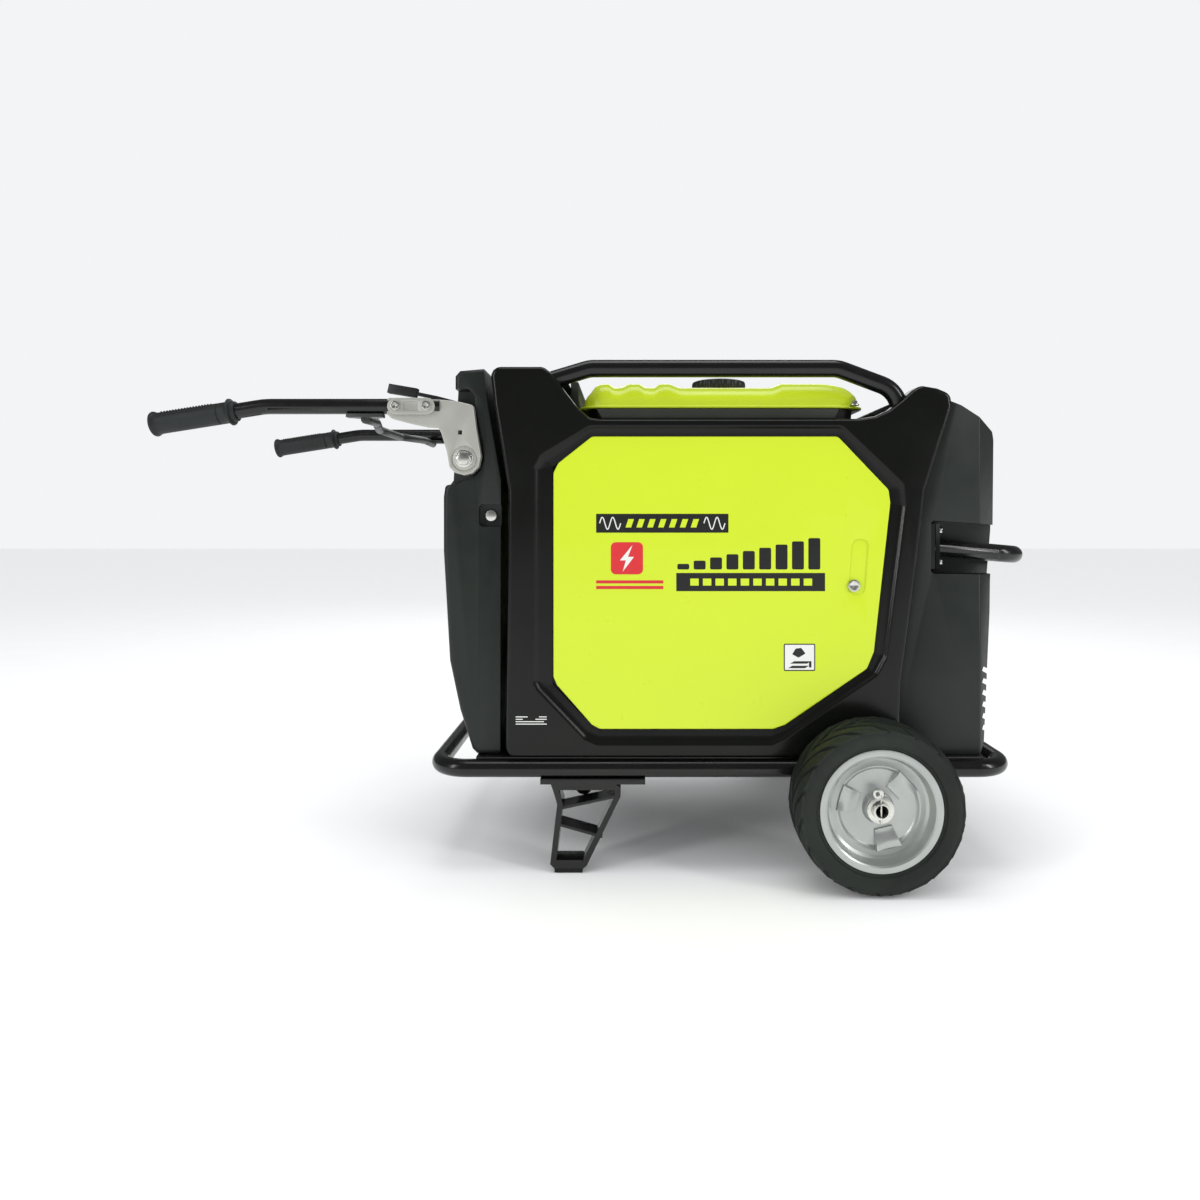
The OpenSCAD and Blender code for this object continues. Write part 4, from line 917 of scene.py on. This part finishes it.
def makeStarterRope():
    # the rope, a thin rod from the housing to the grip, cut into many short lengths along the way
    bm = bmesh.new()
    x, z = starter["x"], starter["z"]
    addRod(bm, (x, starter["ropeIn"], z), (x, starter["low"] + 3, z), starter["ropeR"], segments=16)
    along = [e for e in bm.edges if abs(e.verts[0].co.y - e.verts[1].co.y) > 0.01]
    bmesh.ops.subdivide_edges(bm, edges=along, cuts=40)
    rope = newPiece("starter_rope_finished", bm, "rope_cord", None, 50, ("starter_rope",))
    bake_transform(rope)


makeStarterGrip()
makeStarterRope()
print("starter done")


# printed graphics on the door and the near cover; boxes are (low x, low z, high x, high z)
marks = {
    "band": (2, 483.5, 191, 510.5), "lowBand": (116.5, 400, 329, 426),
    "waveRise": 8.5, "waveThick": 1.5, "waveLong": 30, "waveEnd": 5,
    "dashes": 7, "dashFrom": 42, "dashStep": 15.5, "dashWide": 8,
    "squares": 10, "squareFrom": 20, "squareStep": 18, "squareWide": 12,
    "badge": (23, 424, 69, 470), "lines": ((2, 403, 98, 407.5), (2, 411, 98, 415.5)),
    "bolt": [(40, 428), (56, 449), (47.5, 449), (54, 466), (36, 444), (44.5, 444)],
    "gauge": 9, "gaugeX": 118, "gaugeStep": 23.4, "gaugeWide": 17,
    "gaugeZ": 431, "gaugeHigh": 8, "gaugeRise": 4.6,
    "card": (270, 286, 315, 325), "cardEdge": 1.6,
    "heap": [(282, 310), (291, 305), (301, 311), (295, 319), (287, 318)],
    "labelX": -112, "labelZ": 211, "ruleStep": 3.4, "ruleThick": 1.3,
    "rules": (((0, 44),), ((0, 40),), ((0, 10), (28, 44)), ((0, 17), (33, 44))),
}


def flatMark(name, outlines, look, lift, face=-224, body="door"):
    bm = bmesh.new()
    for outline in outlines:
        low, high = sideLoop(bm, outline, face + 0.05), sideLoop(bm, outline, face - lift)
        bridge(bm, low, high)
        flatten(bm, high)
        flatten(bm, low)
    bmesh.ops.recalc_face_normals(bm, faces=bm.faces)
    return newPiece(name, bm, look, body, 40)


def bar(x0, z0, x1, z1, lean=0.0):
    return [(x0, z0), (x1, z0), (x1 + lean, z1), (x0 + lean, z1)]


def wave(x0, x1, z, rise, turns, thick, steps=72):
    # a sine wave drawn as a strip of even thickness
    upper, lower = [], []
    for k in range(steps + 1):
        t = k / steps
        x = x0 + (x1 - x0) * t
        y = z + rise * sin(2 * pi * turns * t)
        slope = rise * 2 * pi * turns / (x1 - x0) * cos(2 * pi * turns * t)
        off = thick / 2 / sqrt(1 + slope * slope)
        upper.append((x - slope * off, y + off))
        lower.append((x + slope * off, y - off))
    return lower + upper[::-1]


def makeBands():
    x0, z0, x1, z1 = marks["band"]
    lowX, lowZ, highX, highZ = marks["lowBand"]
    flatMark("mark_band", [bar(x0, z0, x1, z1), bar(lowX, lowZ, highX, highZ)], "printBlack", 0.15)
    midZ, lowMidZ = (z0 + z1) / 2, (lowZ + highZ) / 2
    long, end = marks["waveLong"], marks["waveEnd"]
    waves = [wave(x, x + long, midZ, marks["waveRise"], 2, marks["waveThick"])
             for x in (x0 + end, x1 - end - long)]
    flatMark("mark_wave", waves, "printWhite", 0.3)
    dashes = []
    for k in range(marks["dashes"]):
        x = x0 + marks["dashFrom"] + marks["dashStep"] * k
        dashes.append(bar(x, midZ - 6, x + marks["dashWide"], midZ + 6, 4))
    for k in range(marks["squares"]):
        x = lowX + marks["squareFrom"] + marks["squareStep"] * k
        dashes.append(bar(x, lowMidZ - 5, x + marks["squareWide"], lowMidZ + 5))
    flatMark("mark_dashes", dashes, "lime_paint", 0.3)


def makeBadge():
    plate = [rounded(bar(*marks["badge"]), 7, 4)]
    flatMark("mark_badge", plate + [bar(*line) for line in marks["lines"]], "printRed", 0.15)
    flatMark("mark_bolt", [marks["bolt"]], "printWhite", 0.3)


def makeGauge():
    # a row of bars that grow to the right
    bars = []
    for k in range(marks["gauge"]):
        x = marks["gaugeX"] + marks["gaugeStep"] * k
        high = marks["gaugeHigh"] + marks["gaugeRise"] * k
        bars.append(rounded(bar(x, marks["gaugeZ"], x + marks["gaugeWide"], marks["gaugeZ"] + high), 2, 2))
    flatMark("mark_gauge", bars, "printBlack", 0.15)


def makeCard():
    x0, z0, x1, z1 = marks["card"]
    edge = marks["cardEdge"]
    flatMark("mark_card", [rounded(bar(x0, z0, x1, z1), 2, 2)], "printBlack", 0.12)
    face = bar(x0 + edge, z0 + edge, x1 - edge, z1 - edge)
    flatMark("mark_card_face", [rounded(face, 1, 2)], "printWhite", 0.22)
    signs = [marks["heap"], bar(276, 290, 300, 293.5, 6), bar(279, 296.5, 303, 300, 6),
             bar(306, 291, 309.5, 300)]
    flatMark("mark_card_signs", signs, "printBlack", 0.3)


def makeLabel():
    # thin white rules low on the near cover
    rules = []
    x = marks["labelX"]
    for row, spans in enumerate(marks["rules"]):
        z = marks["labelZ"] + marks["ruleStep"] * row
        rules += [bar(x + a, z, x + b, z + marks["ruleThick"]) for a, b in spans]
    flatMark("mark_label", rules, "printWhite", 0.15, -230, "frame")


makeBands()
makeBadge()
makeGauge()
makeCard()
makeLabel()
print("marks done")


def areaLight(name, place, aim, size, power):
    data = bpy.data.lights.new(name, "AREA")
    data.shape = "RECTANGLE"
    data.size, data.size_y = size
    data.energy = power
    lamp = bpy.data.objects.new(name, data)
    lamp.location = place
    lamp.rotation_euler = (Vector(aim) - Vector(place)).to_track_quat("-Z", "Y").to_euler()
    scene.collection.objects.link(lamp)


def layFloor(halfWide):
    bm = bmesh.new()
    bmesh.ops.create_grid(bm, x_segments=2, y_segments=2, size=halfWide)
    mesh = bpy.data.meshes.new("floor")
    bm.to_mesh(mesh)
    bm.free()
    mesh.materials.append(finish["floorPaper"])
    floor = bpy.data.objects.new("floor", mesh)
    scene.collection.objects.link(floor)


layFloor(12)

studio = {
    "sky": (0.97, 0.985, 1.0), "strength": 0.92, "mirror": 0.16,
    # name, place, aim, size, power
    "lamps": [
        ("overhead", (0.1, -0.3, 2.6), (0.05, 0, 0.3), (1.8, 1.0), 16),
        ("frontLeft", (-2.4, -2.2, 1.5), (-0.1, 0, 0.45), (0.3, 1.9), 24),
        ("frontRight", (2.5, -1.7, 1.4), (0.2, 0, 0.45), (0.3, 1.7), 24),
        ("behind", (0.2, 2.5, 2.0), (0, 0, 0.5), (2.2, 0.8), 12),
    ],
}
world = bpy.data.worlds.new("studio")
world.use_nodes = True
background = world.node_tree.nodes["Background"]
background.inputs["Color"].default_value = (*studio["sky"], 1)
# mirror-like reflections see a darker room than the walls and floor do
path = world.node_tree.nodes.new("ShaderNodeLightPath")
level = world.node_tree.nodes.new("ShaderNodeMapRange")
level.inputs["To Min"].default_value = studio["strength"]
level.inputs["To Max"].default_value = studio["mirror"]
world.node_tree.links.new(path.outputs["Is Glossy Ray"], level.inputs["Value"])
world.node_tree.links.new(level.outputs["Result"], background.inputs["Strength"])
scene.world = world
for name, place, aim, size, power in studio["lamps"]:
    areaLight(name, place, aim, size, power)
print("stage set")
